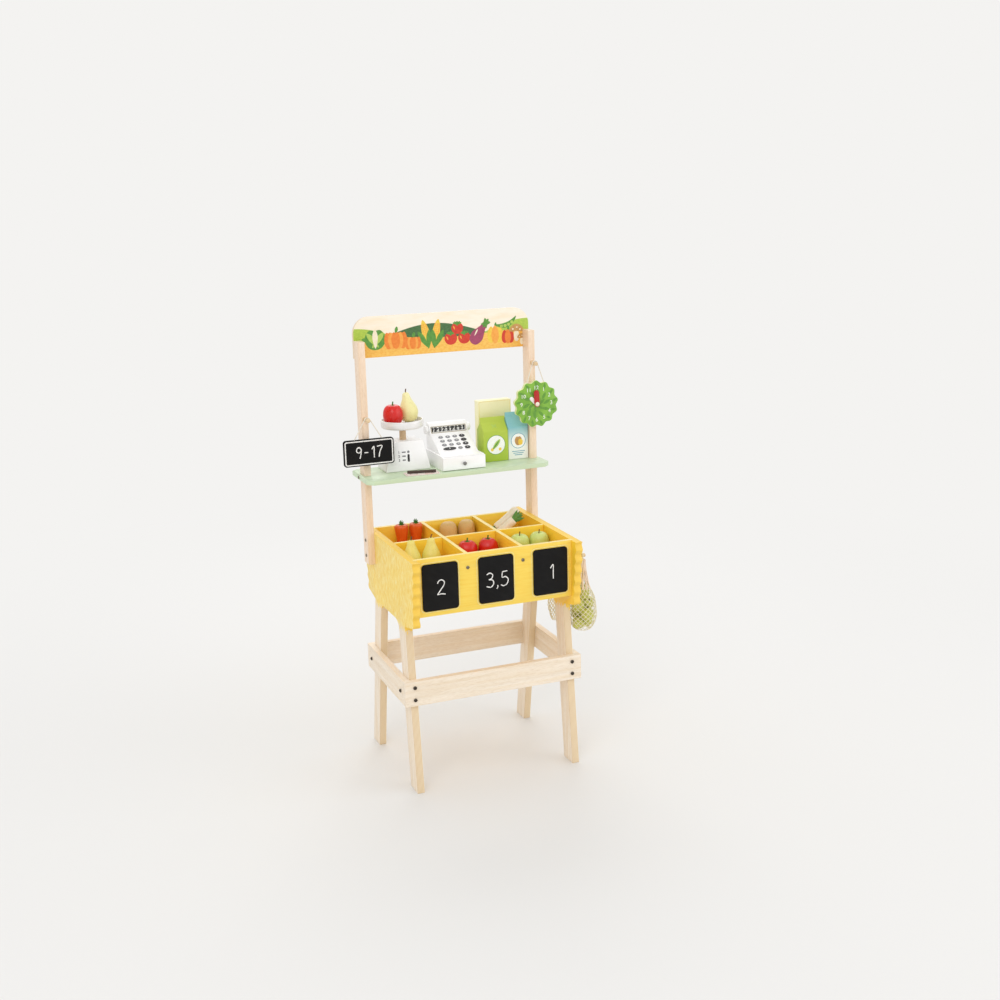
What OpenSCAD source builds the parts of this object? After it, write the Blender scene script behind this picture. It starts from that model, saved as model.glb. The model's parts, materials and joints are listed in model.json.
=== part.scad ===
// Toy market stall in plywood and pine, with six produce bins, a shelf,
// a header, hanging sign and clock, scale, cash register, cartons and play food.
// Front faces -Y, +X is the right side, and the floor is Z = 0.

/* [Stall] */
// Width across the outer faces of the side panels
stall_w = 360; // [348:2:380]
// Thickness of the side panels
side_t = 15; // [14:0.5:17]
// Height of the rim of the bins
rim_z = 492; // [484:1:505]

/* [Side panels] */
// Reach of the front edge at the rim
panel_front = 170; // [164:1:178]
// Reach of the rear edge at the rim
panel_rear = 166; // [158:1:170]
// How far the wavy edges draw in towards the bottom
panel_taper = 16; // [8:1:24]
// Height of the wavy edges, below the rim
panel_h = 136; // [130:1:142]
// Waves along each edge
wave_count = 6; // [4:1:8]
// Depth of a wave
wave_depth = 3; // [1:0.5:4]
// Reach of the front feet
foot_front = 139; // [134:1:146]
// Reach of the rear feet
foot_rear = 171; // [166:1:178]
// Width of a foot on the floor
foot_w = 43; // [38:1:48]
// Lean of the front legs in degrees
front_lean = 6; // [4:0.5:8]
// Lean of the rear legs in degrees
rear_lean = 11; // [9:0.5:12]
// How far the arch between the legs lies below the wavy edges
arch_drop = 11; // [6:1:20]
// Radius of the corners of the arch
arch_r = 22; // [12:1:28]

/* [Base frame] */
// Thickness of the rails
rail_t = 13; // [11:0.5:16]
// Height of the rails
rail_h = 52; // [46:1:58]
// How far the rails lie below the wavy edges
rail_drop = 120; // [110:1:132]
// Diameter of the frame bolts
bolt_d = 5; // [4:0.5:6]
// Diameter of the heads of the frame bolts
bolt_head_d = 7.5; // [7:0.5:10]

/* [Bins] */
// Outer face of the front board, in front of the middle
bin_front = 146; // [140:1:150]
// Outer face of the rear board, behind the middle
bin_rear = 140; // [136:1:146]
// Thickness of the front and rear boards
board_t = 9; // [8:0.5:11]
// Height of the front and rear boards
board_h = 118; // [110:1:124]
// Depth of the bins
bin_depth = 48; // [42:1:54]
// Thickness of the bin floor
floor_t = 6; // [5:0.5:8]
// Thickness of the dividers
divider_t = 8; // [7:0.5:10]
// Depth of the grooves that house the boards
groove_d = 5; // [3:0.5:7]

/* [Price boards] */
// Width of a price board
price_w = 75; // [68:1:78]
// Height of a price board
price_h = 96; // [86:1:100]
// Thickness of a price board
price_t = 3; // [2:0.5:5]
// Gap between an outer price board and its side panel
price_side = 9.5; // [8:0.5:12]
// Corner radius of a price board
price_r = 7; // [3:1:12]

/* [Posts and header] */
// Thickness of a post, across the stall
post_t = 14; // [13:0.5:16]
// Depth of a post, front to rear
post_d = 32; // [28:1:36]
// Front face of the posts, behind the middle
post_y = 90; // [87:1:94]
// How far the posts reach down past the rim
post_lap = 67; // [57:1:77]
// How far the posts stop below the top of the header
post_drop = 47; // [40:1:55]
// Height of the header's lower edge above the shelf
header_rise = 240; // [236:1:270]
// Height of the header
header_h = 84; // [76:1:95]
// Thickness of the header
header_t = 9; // [7:0.5:12]
// Radius of the top corners of the header
header_r = 34; // [20:1:40]

/* [Shelf] */
// Height of the shelf above the rim
shelf_rise = 115; // [108:1:130]
// Thickness of the shelf
shelf_t = 9; // [8:0.5:11]
// How far the shelf passes the outer faces of the posts
shelf_past = 8; // [7:0.5:14]
// Front edge of the shelf, behind the middle
shelf_front = 34; // [28:1:36]
// Rear edge of the shelf, behind the middle
shelf_rear = 166; // [165:1:180]
// Chamfer of the shelf corners
shelf_chamfer = 12; // [6:1:18]

/* [Pegs] */
// Diameter of the pegs
peg_d = 8; // [7:0.5:9]
// How far a peg stands out
peg_out = 26; // [24:1:29]
// How deep a peg sits
peg_in = 10; // [8:0.5:12]
// Height of the sign's peg above the shelf
sign_peg_rise = 119; // [114:1:128]
// Height of the clock's peg above the shelf
clock_peg_rise = 208; // [200:1:216]
// How far the bags' pegs lie below the rim
bag_peg_drop = 52; // [42:1:62]

/* [Sign] */
// Width of the sign
sign_w = 107; // [100:1:114]
// Height of the sign
sign_h = 55; // [50:1:62]
// Thickness of the sign
sign_t = 6; // [5:0.5:8]
// Corner radius of the sign
sign_r = 6; // [3:0.5:9]
// Distance from the peg down to the top of the sign
sign_drop = 38; // [32:1:44]
// Distance between the ends of the sign's cord
sign_cord_w = 58; // [50:1:66]
// Diameter of the cords
cord_d = 2.4; // [2:0.2:3]

/* [Clock] */
// Mean diameter of the clock
clock_d = 96; // [90:1:104]
// Thickness of the clock
clock_t = 9; // [8:0.5:11]
// Distance from the peg down to the middle of the clock
clock_drop = 86; // [80:1:92]
// Waves round the edge of the clock
clock_waves = 13; // [9:1:16]
// Depth of a wave on the clock
clock_wave_depth = 2.5; // [1:0.5:3]
// Distance between the ends of the clock's cord
clock_cord_w = 40; // [34:1:46]
// Thickness of a hand
hand_t = 2; // [1.5:0.25:2.5]
// Width of the minute hand
minute_w = 12; // [10:0.5:14]
// Length of the minute hand
minute_l = 30; // [24:1:36]
// Width of the hour hand
hour_w = 8.5; // [8:0.5:11]
// Length of the hour hand
hour_l = 21; // [16:1:26]
// Diameter of the pin of the hands
hand_pin_d = 4.8; // [4:0.2:5.4]
// Diameter of the head of that pin
pin_head_d = 10; // [8:0.5:12]

/* [Scale] */
// Width of the scale at its foot
scale_w = 97; // [90:1:104]
// Width of the scale at its top
scale_top_w = 70; // [62:1:78]
// Depth of the scale
scale_d = 62; // [56:1:64]
// Height of the scale's body
scale_h = 62; // [56:1:70]
// How far the front of the scale leans back
scale_slope = 4; // [2:1:8]
// Diameter of the stem
stem_d = 14; // [12:0.5:18]
// Length of the stem between body and dish
stem_l = 26; // [22:1:30]
// Diameter of the dish
dish_d = 90; // [90:1:96]
// Height of the dish
dish_h = 17; // [15:0.5:20]

/* [Cash register] */
// Width of the cash register at its drawer
till_w = 94; // [92:1:98]
// Width of the cash register above its drawer
till_body_w = 86; // [84:1:88]
// Depth of the cash register
till_d = 116; // [114:1:118]
// Height of the cash register
till_h = 86; // [84:1:92]
// Height of the drawer front
drawer_h = 28; // [26:0.5:31]
// Thickness of the drawer front
drawer_front_t = 6; // [5:0.5:8]
// Wall thickness of the drawer
drawer_wall = 4; // [3:0.5:5]
// Diameter of the number roller
roller_d = 15; // [13:0.5:16]
// Diameter of the roller's axle
axle_d = 6; // [5:0.5:7]
// Diameter of the roller's knobs
knob_d = 18; // [15:0.5:20]
// Thickness of the roller's knobs
knob_t = 8; // [7:0.5:9]

/* [Cartons] */
// Width of the green carton
green_w = 56; // [50:1:58]
// Depth of the green carton
green_d = 40; // [36:1:40]
// Height of the green carton
green_h = 94; // [88:1:102]
// Width of the blue carton
blue_w = 46; // [40:1:50]
// Depth of the blue carton
blue_d = 34; // [30:1:36]
// Height of the blue carton
blue_h = 101; // [92:1:108]
// Width of the yellow box
box_w = 76; // [68:1:80]
// Depth of the yellow box
box_d = 22; // [18:1:22]
// Height of the yellow box
box_h = 126; // [118:1:134]

/* [Play food] */
// Diameter of a tomato
tomato_d = 43; // [39:0.5:44]
// Height of a tomato
tomato_h = 42; // [38:0.5:44]
// Diameter of an apple
apple_d = 42; // [38:0.5:44]
// Height of an apple
apple_h = 40; // [36:0.5:43]
// Diameter of a pear
pear_d = 40; // [36:0.5:42]
// Height of a pear
pear_h = 62; // [56:0.5:66]
// Diameter of a carrot
carrot_d = 30; // [26:0.5:31]
// Height of a carrot
carrot_h = 54; // [48:0.5:58]
// Diameter of a potato
potato_d = 40; // [36:0.5:43]
// Height of a potato
potato_h = 48; // [44:0.5:52]
// Diameter of a leek
leek_d = 22; // [19:0.5:25]
// Length of a leek's white part
leek_l = 62; // [56:0.5:66]

/* [Net bags] */
// Diameter of the full net bag
full_bag_d = 58; // [50:1:60]
// Length of the full net bag below its peg
full_bag_l = 162; // [150:1:170]
// Diameter of the empty net bag
empty_bag_d = 28; // [24:1:32]
// Length of the empty net bag below its peg
empty_bag_l = 185; // [170:1:190]
// Place of the full bag, in front of the middle
full_bag_y = 94; // [88:1:100]
// Place of the empty bag, behind the middle
empty_bag_y = 48; // [42:1:56]

/* [Hidden] */
$fn = 48;
// Overrun of every cut
cut = 1;
// Gap between glued or screwed pieces that fit into each other
fit_gap = 0.15;
// Gap between a loose piece and what it stands on
rest_gap = 0.3;
// Radial play of a turning fit
run_gap = 0.06;

// Heights, from the rim down to the arch and up to the top of the header
panel_low_z = rim_z - panel_h;
arch_z = panel_low_z - arch_drop;
post_low_z = rim_z - post_lap;
bag_peg_z = rim_z - bag_peg_drop;
shelf_z = rim_z + shelf_rise;
shelf_top_z = shelf_z + shelf_t;
sign_peg_z = shelf_top_z + sign_peg_rise;
clock_peg_z = shelf_top_z + clock_peg_rise;
header_low_z = shelf_top_z + header_rise;
stall_h = header_low_z + header_h;

side_x = stall_w / 2;
inner_x = side_x - side_t;
leg_mid_x = side_x - side_t / 2;
price_pitch = inner_x - price_side - price_w / 2;
divider_x = price_pitch / 2;
rail_top_z = panel_low_z - rail_drop;
rail_low_z = rail_top_z - rail_h;
rail_x = side_x + rail_t;
front_seat_y = -foot_front + rail_top_z * tan(front_lean);
rear_seat_y = foot_rear - rail_top_z * tan(rear_lean);
board_low_z = rim_z - board_h;
floor_z = rim_z - bin_depth;
bin_in_front = -bin_front + board_t;
bin_in_rear = bin_rear - board_t;
bin_mid_y = (bin_in_front + bin_in_rear) / 2;
bin_screw_z = floor_z + bin_depth * 5 / 12;
post_x = side_x + post_t / 2;
post_out_x = side_x + post_t;
post_top_z = stall_h - post_drop;
post_back_y = post_y + post_d;
shelf_x = post_out_x + shelf_past;
hang_y = post_y - peg_out * 5 / 8;

// Screws: head and shank sizes and lengths
screw_d = 3;
screw_head_d = 7;
screw_head_t = 1.6;
bolt_head_t = 3;
bolt_l = 40;
side_bolt_l = 24;
bin_screw_l = 28;
post_screw_l = 24;
header_screw_l = 30;
shelf_screw_l = 20;
wave_points = 8;

// Depth of the floor's grooves in the boards
floor_groove_d = 4;
// Round tip of a peg
peg_tip = 1.5;
// How deep a cord's ends sit
cord_in = 8;

// Bags: how far the full one hangs clear of the panel
bag_gap = 4;
bag_x = side_x + bag_gap + full_bag_d / 2;
bag_shares = [
  [0.3, 0], [0.72, 0.05], [0.97, 0.18], [1, 0.3], [0.82, 0.48],
  [0.46, 0.62], [0.24, 0.74], [0.15, 0.88], [0.13, 1]];

// Clock hands: gap between layers, and their lean in degrees
hand_gap = 0.4;
hour_lean = 45;
minute_lean = 3;

// Goods on the shelf: gaps to the posts and between cartons, and how the free width is shared out
post_gap = 2;
goods_gap = 1.5;
row_free = 2 * (side_x - post_gap) - scale_w - till_w - green_w - goods_gap - blue_w;
row_shares = [0.55, 0.2, 0.25];
scale_x = -side_x + post_gap + row_shares[0] * row_free + scale_w / 2;
till_x = scale_x + scale_w / 2 + row_shares[1] * row_free + till_w / 2;
green_x = till_x + till_w / 2 + row_shares[2] * row_free + green_w / 2;
blue_x = green_x + green_w / 2 + goods_gap + blue_w / 2;

// Scale: place of its front, plinth, stem sockets, dish walls and the lean of its pear in degrees
scale_y = 97;
scale_foot_h = 4;
stem_y = scale_d / 2 + scale_slope / 4;
stem_in = 12;
dish_z = scale_h + stem_l;
dish_wall = 2.5;
dish_floor_h = 8;
dish_socket = 5;
dish_tomato_share = [-0.47, -0.11];
dish_pear_share = [0.45, 0.13];
dish_pear_lean = 10;
dish_pear_turn = 60;

// Cash register: place of its front, walls, drawer bay, key desk, roller and window
till_y = 49.5;
till_wall = 3;
till_front = drawer_front_t + 2 * rest_gap;
bay_top_z = drawer_h - till_wall / 2;
till_base_z = bay_top_z + till_wall;
till_ledge = 28;
till_roof = 14;
till_brow = 12;
till_brow_h = 22;
bay_w = till_w - 4 * till_wall;
bay_back_y = till_d - 2 * till_wall;
tray_w = bay_w - 4 * rest_gap;
tray_back_y = bay_back_y - till_wall;
drawer_knob_d = 8;
roller_gap = 0.6;
till_brow_y = till_d - till_roof;
till_desk_y = till_brow_y - till_brow;
till_desk_z = till_h - till_brow_h;
roller_rise = 8;
roller_z = till_desk_z + roller_rise;
roller_y = till_d - till_wall - roller_gap - roller_d / 2;
roller_l = till_body_w - 2 * (till_wall + roller_gap);
window_w = roller_l - till_wall;
window_h = roller_d * 2 / 3;
knob_gap = 0.5;
knob_edge = 1.5;

// Cartons: roof, top fin and places
carton_body_share = 0.7;
carton_roof_share = 0.9;
carton_fin_t = 3;
green_y = 96.5;
blue_y = 98.5;
box_in = 5;

// Play note and chalk: the note lies a gap to the left of the register
note_gap = 8;
note_y = 58;
note_w = 72;
note_d = 34;
note_t = 1;
note_turn = -4;
note_span = note_w * cos(note_turn) + note_d * abs(sin(note_turn));
note_x = till_x - till_w / 2 - note_gap - note_span / 2;
chalk_d = 6;
chalk_l = 60;
chalk_lean = 8;

// Play food: profiles as shares of radius and height, leaves and stalks
tomato_shares = [
  [0.42, 0], [0.8, 0.1], [0.98, 0.34], [1, 0.5],
  [0.93, 0.72], [0.72, 0.9], [0.42, 0.99], [0.2, 0.97]];
apple_shares = [
  [0.36, 0], [0.72, 0.08], [0.95, 0.34], [1, 0.55],
  [0.92, 0.8], [0.68, 0.96], [0.4, 1], [0.14, 0.92]];
pear_shares = [
  [0.4, 0], [0.8, 0.08], [1, 0.28], [0.93, 0.46],
  [0.68, 0.64], [0.46, 0.8], [0.36, 0.93], [0.16, 1]];
carrot_shares = [
  [0.42, 0], [0.62, 0.2], [0.8, 0.5],
  [0.95, 0.8], [0.92, 0.94], [0.6, 1]];
potato_shares = [
  [0.4, 0], [0.76, 0.1], [0.98, 0.35], [1, 0.55],
  [0.88, 0.8], [0.6, 0.95], [0.2, 1]];
leek_shares = [
  [0.5, 0], [0.86, 0.04], [1, 0.14],
  [0.9, 0.35], [0.84, 0.7], [0.86, 1]];
apple_dip_share = 0.85;
leaf_waist_share = 0.4;
leaf_t = 0.8;
tomato_leaves = 5;
carrot_leaves = 6;
carrot_top_l = 10;
stalk_d = 3;
stalk_l = 7;
leek_leaf_l = 28;
leek_leaf_t = 4;
leek_fan = 14;
leek_lean = 52;
leek_turn = -8;
leek_leaf = [
  [-leek_d / 4, 0], [leek_d / 4, 0], [leek_d / 3, leek_leaf_l * 2 / 3],
  [0, leek_leaf_l], [-leek_d / 3, leek_leaf_l * 2 / 3]];

// Places of the food in the bins, as shares of the free room on either side of a pair
food_gap = 2;
pear_share = [-1, 0.56];
tomato_share = [0.5, 0.88];
apple_share = [1, 0.88];
carrot_share = [0.9, 0.88];
potato_share = [0.95, 0.95];
leek_front_share = [0, 0.2];
leek_rear_share = [0, 0.74];

// A flat outline in Y and Z, extruded along X from x0
module in_yz(x0, t) {
  translate([x0, 0, 0]) rotate([90, 0, 90]) linear_extrude(t) children();
}

// A flat outline in X and Z, extruded along Y from y0
module in_xz(y0, t) {
  translate([0, y0 + t, 0]) rotate([90, 0, 0]) linear_extrude(t) children();
}

// A block between two corners
module block(low, high) {
  translate(low) cube(high - low);
}

// A rectangle with round corners, centred
module round_rect(w, h, r) {
  square([w, h - 2 * r], center = true);
  square([w - 2 * r, h], center = true);
  for (sx = [-1, 1], sy = [-1, 1])
    translate([sx * (w / 2 - r), sy * (h / 2 - r)]) circle(r);
}

// A screw along +Z with its domed head below the origin
module screw(d, head_d, head_t, l) {
  cylinder(d = d, h = l);
  translate([0, 0, -head_t / 2]) cylinder(d = head_d, h = head_t / 2);
  translate([0, 0, -head_t]) cylinder(d1 = head_d - head_t, d2 = head_d, h = head_t / 2);
}

// The hole that takes such a screw
module screw_hole(d, l) {
  translate([0, 0, -cut]) cylinder(d = d + 2 * fit_gap, h = l + cut + fit_gap);
}

// Smooth points between the hand-chosen points of a profile
smooth_steps = 4;
function between(a, b, c, d, t) =
  (2 * b + (c - a) * t + (2 * a - 5 * b + 4 * c - d) * t * t + (3 * b - a - 3 * c + d) * t * t * t) / 2;
function smooth(p) = let (n = len(p)) concat(
  [for (i = [0 : n - 2], k = [0 : smooth_steps - 1])
    let (q = between(p[max(i - 1, 0)], p[i], p[i + 1], p[min(i + 2, n - 1)], k / smooth_steps))
    q],
  [p[n - 1]]);

// A turned form: profile shares of its radius and height
module turned(d, h, shares) {
  side = [for (q = smooth(shares)) [min(q[0], 1) * d / 2, max(q[1], 0) * h]];
  rotate_extrude() polygon(concat([[0, side[0][1]]], side, [[0, side[len(side) - 1][1]]]));
}

// The wavy edge of a side panel, from its lower corner up to the rim
function wavy_edge(low, high, way) = [
  for (i = [0 : wave_count * wave_points])
    let (s = i / (wave_count * wave_points))
    [low[0] + (high[0] - low[0]) * s + way * wave_depth * sin(360 * wave_count * s),
     low[1] + (high[1] - low[1]) * s]];
function backwards(p) = [for (i = [len(p) - 1 : -1 : 0]) p[i]];

// Points of a round corner about c, from angle a0 to a1
corner_points = 6;
function corner(c, r, a0, a1) = [
  for (i = [0 : corner_points]) let (a = a0 + (a1 - a0) * i / corner_points) c + r * [cos(a), sin(a)]];

// Outer edges of the splayed legs at a height
function front_edge_y(z) = -foot_front + z * tan(front_lean);
function rear_edge_y(z) = foot_rear - z * tan(rear_lean);

// Side panel with its two legs, in Y and Z, cut plumb where the rails seat
module side_outline() {
  turn_z = arch_z - arch_r;
  front_turn = [front_edge_y(turn_z) + foot_w + arch_r / cos(front_lean), turn_z];
  rear_turn = [rear_edge_y(turn_z) - foot_w - arch_r / cos(rear_lean), turn_z];
  difference() {
    polygon(concat(
      wavy_edge([panel_taper - panel_front, panel_low_z], [-panel_front, rim_z], -1),
      backwards(wavy_edge([panel_rear - panel_taper, panel_low_z], [panel_rear, rim_z], 1)),
      [[rear_edge_y(arch_z), arch_z], [foot_rear, 0], [foot_rear - foot_w, 0]],
      corner(rear_turn, arch_r, rear_lean, 90),
      corner(front_turn, arch_r, 90, 180 - front_lean),
      [[foot_w - foot_front, 0], [-foot_front, 0], [front_edge_y(arch_z), arch_z]]));
    translate([front_seat_y - rail_t, rail_low_z - fit_gap]) square([rail_t, rail_h + 2 * fit_gap]);
    translate([rear_seat_y, rail_low_z - fit_gap]) square([rail_t, rail_h + 2 * fit_gap]);
  }
}

// Where the bolts of the base frame go, +Z into the wood
module at_rail_bolts() {
  for (sx = [-1, 1], sz = [-1, 1]) {
    z = rail_low_z + rail_h / 2 + sz * rail_h / 4;
    translate([sx * leg_mid_x, front_seat_y - rail_t, z]) rotate([-90, 0, 0]) children();
    translate([sx * leg_mid_x, rear_seat_y + rail_t, z]) rotate([90, 0, 0]) children();
  }
}
module at_side_bolts() {
  z = rail_low_z + rail_h / 2;
  for (sx = [-1, 1], y = [front_edge_y(z) + foot_w / 2, rear_edge_y(z) - foot_w / 2])
    translate([sx * rail_x, y, z]) rotate([0, -sx * 90, 0]) children();
}

// Where the wood screws go, +Z into the wood
module at_bin_screws() {
  for (sx = [-1, 1]) {
    translate([sx * divider_x, -bin_front, bin_screw_z]) rotate([-90, 0, 0]) children();
    translate([sx * divider_x, bin_rear, bin_screw_z]) rotate([90, 0, 0]) children();
  }
}
module at_post_screws() {
  for (sx = [-1, 1], k = [1, 3])
    translate([sx * post_out_x, post_y + post_d / 2, post_low_z + (rim_z - post_low_z) * k / 4])
      rotate([0, -sx * 90, 0]) children();
}
module at_header_screws() {
  for (sx = [-1, 1], k = [1, 3])
    translate([sx * post_x, post_back_y + header_t, post_top_z - (post_top_z - header_low_z) * k / 4])
      rotate([90, 0, 0]) children();
}
module at_shelf_screws() {
  for (sx = [-1, 1])
    translate([sx * shelf_x, post_y + post_d / 2, shelf_z + shelf_t / 2]) rotate([0, -sx * 90, 0]) children();
}

// Where the pegs go, +Z out of the wood
module at_sign_peg() {
  translate([-post_x, post_y, sign_peg_z]) rotate([90, 0, 0]) children();
}
module at_clock_peg() {
  translate([post_x, post_y, clock_peg_z]) rotate([90, 0, 0]) children();
}
module at_bag_pegs() {
  for (y = [-full_bag_y, empty_bag_y])
    translate([side_x, y, bag_peg_z]) rotate([0, 90, 0]) children();
}
module peg_hole() {
  translate([0, 0, -peg_in - fit_gap]) cylinder(d = peg_d + 2 * fit_gap, h = peg_in + fit_gap + cut);
}

// Side panels: one plywood piece with its legs, grooved inside for the boards
module side_panel(sx) {
  color("gold") difference() {
    in_yz(sx > 0 ? inner_x : -side_x, side_t) side_outline();
    for (y = [-bin_front, bin_rear - board_t])
      translate([sx * inner_x, y - fit_gap, board_low_z - fit_gap])
        mirror([sx > 0 ? 0 : 1, 0, 0]) translate([-cut, 0, 0])
          cube([cut + groove_d, board_t + 2 * fit_gap, board_h + cut]);
    at_rail_bolts() screw_hole(bolt_d, bolt_l);
    at_side_bolts() screw_hole(bolt_d, side_bolt_l);
    at_post_screws() screw_hole(screw_d, post_screw_l);
    if (sx > 0) at_bag_pegs() peg_hole();
  }
}
module side_panel_left() { side_panel(-1); }
module side_panel_right() { side_panel(1); }

// Base frame: front and rear rails across the legs, side rails between them
module cross_rail(y) {
  color("burlywood") difference() {
    block([-rail_x, y, rail_low_z], [rail_x, y + rail_t, rail_top_z]);
    at_rail_bolts() screw_hole(bolt_d, bolt_l);
  }
}
module front_rail() { cross_rail(front_seat_y - rail_t); }
module rear_rail() { cross_rail(rear_seat_y); }
module side_rail(sx) {
  color("burlywood") difference() {
    block([sx > 0 ? side_x : -rail_x, front_seat_y, rail_low_z],
          [sx > 0 ? rail_x : -side_x, rear_seat_y, rail_top_z]);
    at_side_bolts() screw_hole(bolt_d, side_bolt_l);
  }
}
module side_rail_left() { side_rail(-1); }
module side_rail_right() { side_rail(1); }
module frame_bolts() {
  color("dimgray") {
    at_rail_bolts() screw(bolt_d, bolt_head_d, bolt_head_t, bolt_l);
    at_side_bolts() screw(bolt_d, bolt_head_d, bolt_head_t, side_bolt_l);
  }
}

// Bins: boards in the grooves, a floor in the boards, halved dividers
module bin_board(y, groove_y) {
  end_x = inner_x + groove_d - fit_gap;
  color("gold") difference() {
    block([-end_x, y, board_low_z], [end_x, y + board_t, rim_z]);
    translate([-inner_x, groove_y, floor_z - floor_t - fit_gap])
      cube([2 * inner_x, floor_groove_d + cut, floor_t + 2 * fit_gap]);
    at_bin_screws() screw_hole(screw_d, bin_screw_l);
  }
}
module bin_front_board() { bin_board(-bin_front, bin_in_front - floor_groove_d); }
module bin_rear_board() { bin_board(bin_in_rear, bin_in_rear - cut); }
module bin_floor() {
  reach = floor_groove_d - fit_gap;
  color("goldenrod") block([fit_gap - inner_x, bin_in_front - reach, floor_z - floor_t],
                           [inner_x - fit_gap, bin_in_rear + reach, floor_z]);
}
module bin_long_divider() {
  color("gold") difference() {
    block([fit_gap - inner_x, bin_mid_y - divider_t / 2, floor_z],
          [inner_x - fit_gap, bin_mid_y + divider_t / 2, rim_z]);
    for (sx = [-1, 1])
      translate([sx * divider_x - divider_t / 2 - fit_gap, bin_mid_y - divider_t,
                 rim_z - bin_depth / 2 - fit_gap])
        cube([divider_t + 2 * fit_gap, 2 * divider_t, bin_depth]);
  }
}
module bin_cross_divider(sx) {
  color("gold") difference() {
    block([sx * divider_x - divider_t / 2, bin_in_front + fit_gap, floor_z],
          [sx * divider_x + divider_t / 2, bin_in_rear - fit_gap, rim_z]);
    translate([sx * divider_x - divider_t, bin_mid_y - divider_t / 2 - fit_gap, floor_z - cut])
      cube([2 * divider_t, divider_t + 2 * fit_gap, cut + bin_depth / 2]);
    at_bin_screws() screw_hole(screw_d, bin_screw_l);
  }
}
module bin_cross_divider_left() { bin_cross_divider(-1); }
module bin_cross_divider_right() { bin_cross_divider(1); }

// Price boards on the front
module price_board(k) {
  color("black") translate([k * price_pitch, 0, rim_z - board_h / 2])
    in_xz(-bin_front - price_t, price_t) round_rect(price_w, price_h, price_r);
}
module price_board_left() { price_board(-1); }
module price_board_middle() { price_board(0); }
module price_board_right() { price_board(1); }

// Posts outside the side panels, the header behind them
module post(sx) {
  color("wheat") difference() {
    block([sx > 0 ? side_x : -post_out_x, post_y, post_low_z],
          [sx > 0 ? post_out_x : -side_x, post_back_y, post_top_z]);
    at_post_screws() screw_hole(screw_d, post_screw_l);
    at_header_screws() screw_hole(screw_d, header_screw_l);
    at_shelf_screws() screw_hole(screw_d, shelf_screw_l);
    if (sx < 0) at_sign_peg() peg_hole();
    if (sx > 0) at_clock_peg() peg_hole();
  }
}
module post_left() { post(-1); }
module post_right() { post(1); }
module header_panel() {
  color("moccasin") difference() {
    in_xz(post_back_y, header_t) {
      translate([-post_out_x, header_low_z]) square([2 * post_out_x, header_h - header_r]);
      translate([header_r - post_out_x, header_low_z]) square([2 * (post_out_x - header_r), header_h]);
      for (sx = [-1, 1]) translate([sx * (post_out_x - header_r), stall_h - header_r]) circle(header_r);
    }
    at_header_screws() screw_hole(screw_d, header_screw_l);
  }
}

// Shelf, slotted over the posts
module shelf() {
  c = shelf_chamfer;
  color("palegreen") difference() {
    translate([0, 0, shelf_z]) linear_extrude(shelf_t) difference() {
      polygon([[c - shelf_x, shelf_front], [shelf_x - c, shelf_front], [shelf_x, shelf_front + c],
               [shelf_x, shelf_rear - c], [shelf_x - c, shelf_rear], [c - shelf_x, shelf_rear],
               [-shelf_x, shelf_rear - c], [-shelf_x, shelf_front + c]]);
      for (sx = [-1, 1]) translate([sx * post_x, post_y + post_d / 2])
        square([post_t + 2 * fit_gap, post_d + 2 * fit_gap], center = true);
    }
    at_shelf_screws() screw_hole(screw_d, shelf_screw_l);
  }
}
module wood_screws() {
  color("silver") {
    at_bin_screws() screw(screw_d, screw_head_d, screw_head_t, bin_screw_l);
    at_post_screws() screw(screw_d, screw_head_d, screw_head_t, post_screw_l);
    at_header_screws() screw(screw_d, screw_head_d, screw_head_t, header_screw_l);
    at_shelf_screws() screw(screw_d, screw_head_d, screw_head_t, shelf_screw_l);
  }
}

// Pegs: dowels with a round tip
module peg(out) {
  translate([0, 0, -peg_in]) cylinder(d = peg_d, h = peg_in + out - peg_tip);
  translate([0, 0, out - peg_tip]) cylinder(d1 = peg_d, d2 = peg_d - 2 * peg_tip, h = peg_tip);
}
module pegs() {
  color("burlywood") {
    at_sign_peg() peg(peg_out);
    at_clock_peg() peg(peg_out);
    at_bag_pegs() peg(bag_x - side_x + peg_d);
  }
}

// A cord over a peg at the origin, in X and Z, down to two ends at [-w, -h] and [w, -h]
loop_r = peg_d / 2 + rest_gap + cord_d / 2;
angle_steps = 100;
function cord_angle(w, h) = round(angle_steps * (atan2(-h, w) + acos(loop_r / norm([w, h])))) / angle_steps;
module cord(w, h, into) {
  a = cord_angle(w, h);
  run = sqrt(w * w + h * h - loop_r * loop_r) + into;
  reach = loop_r + cord_d;
  difference() {
    rotate([90, 0, 0]) rotate_extrude() translate([loop_r, 0]) circle(d = cord_d);
    for (turn = [0, 180]) rotate([0, 0, turn]) rotate([0, -a, 0])
      block([-reach, -reach, -2 * reach], [reach, reach, 0]);
  }
  for (turn = [0, 180]) rotate([0, 0, turn]) rotate([0, -a, 0])
    translate([loop_r, 0, -run]) cylinder(d = cord_d, h = run);
}
module cord_hole(w, h) {
  a = cord_angle(w, h);
  run = sqrt(w * w + h * h - loop_r * loop_r);
  for (turn = [0, 180]) rotate([0, 0, turn]) rotate([0, -a, 0])
    translate([loop_r, 0, -run - cord_in - fit_gap])
      cylinder(d = cord_d + 2 * fit_gap, h = cord_in + fit_gap + run / 2);
}

// Hanging sign
module at_sign() { translate([-post_x, hang_y, sign_peg_z]) children(); }
module sign_board() {
  color("black") at_sign() difference() {
    translate([0, 0, -sign_drop - sign_h / 2]) in_xz(-sign_t / 2, sign_t) round_rect(sign_w, sign_h, sign_r);
    cord_hole(sign_cord_w / 2, sign_drop);
  }
}
module sign_cord() { color("white") at_sign() cord(sign_cord_w / 2, sign_drop, cord_in); }

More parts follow.
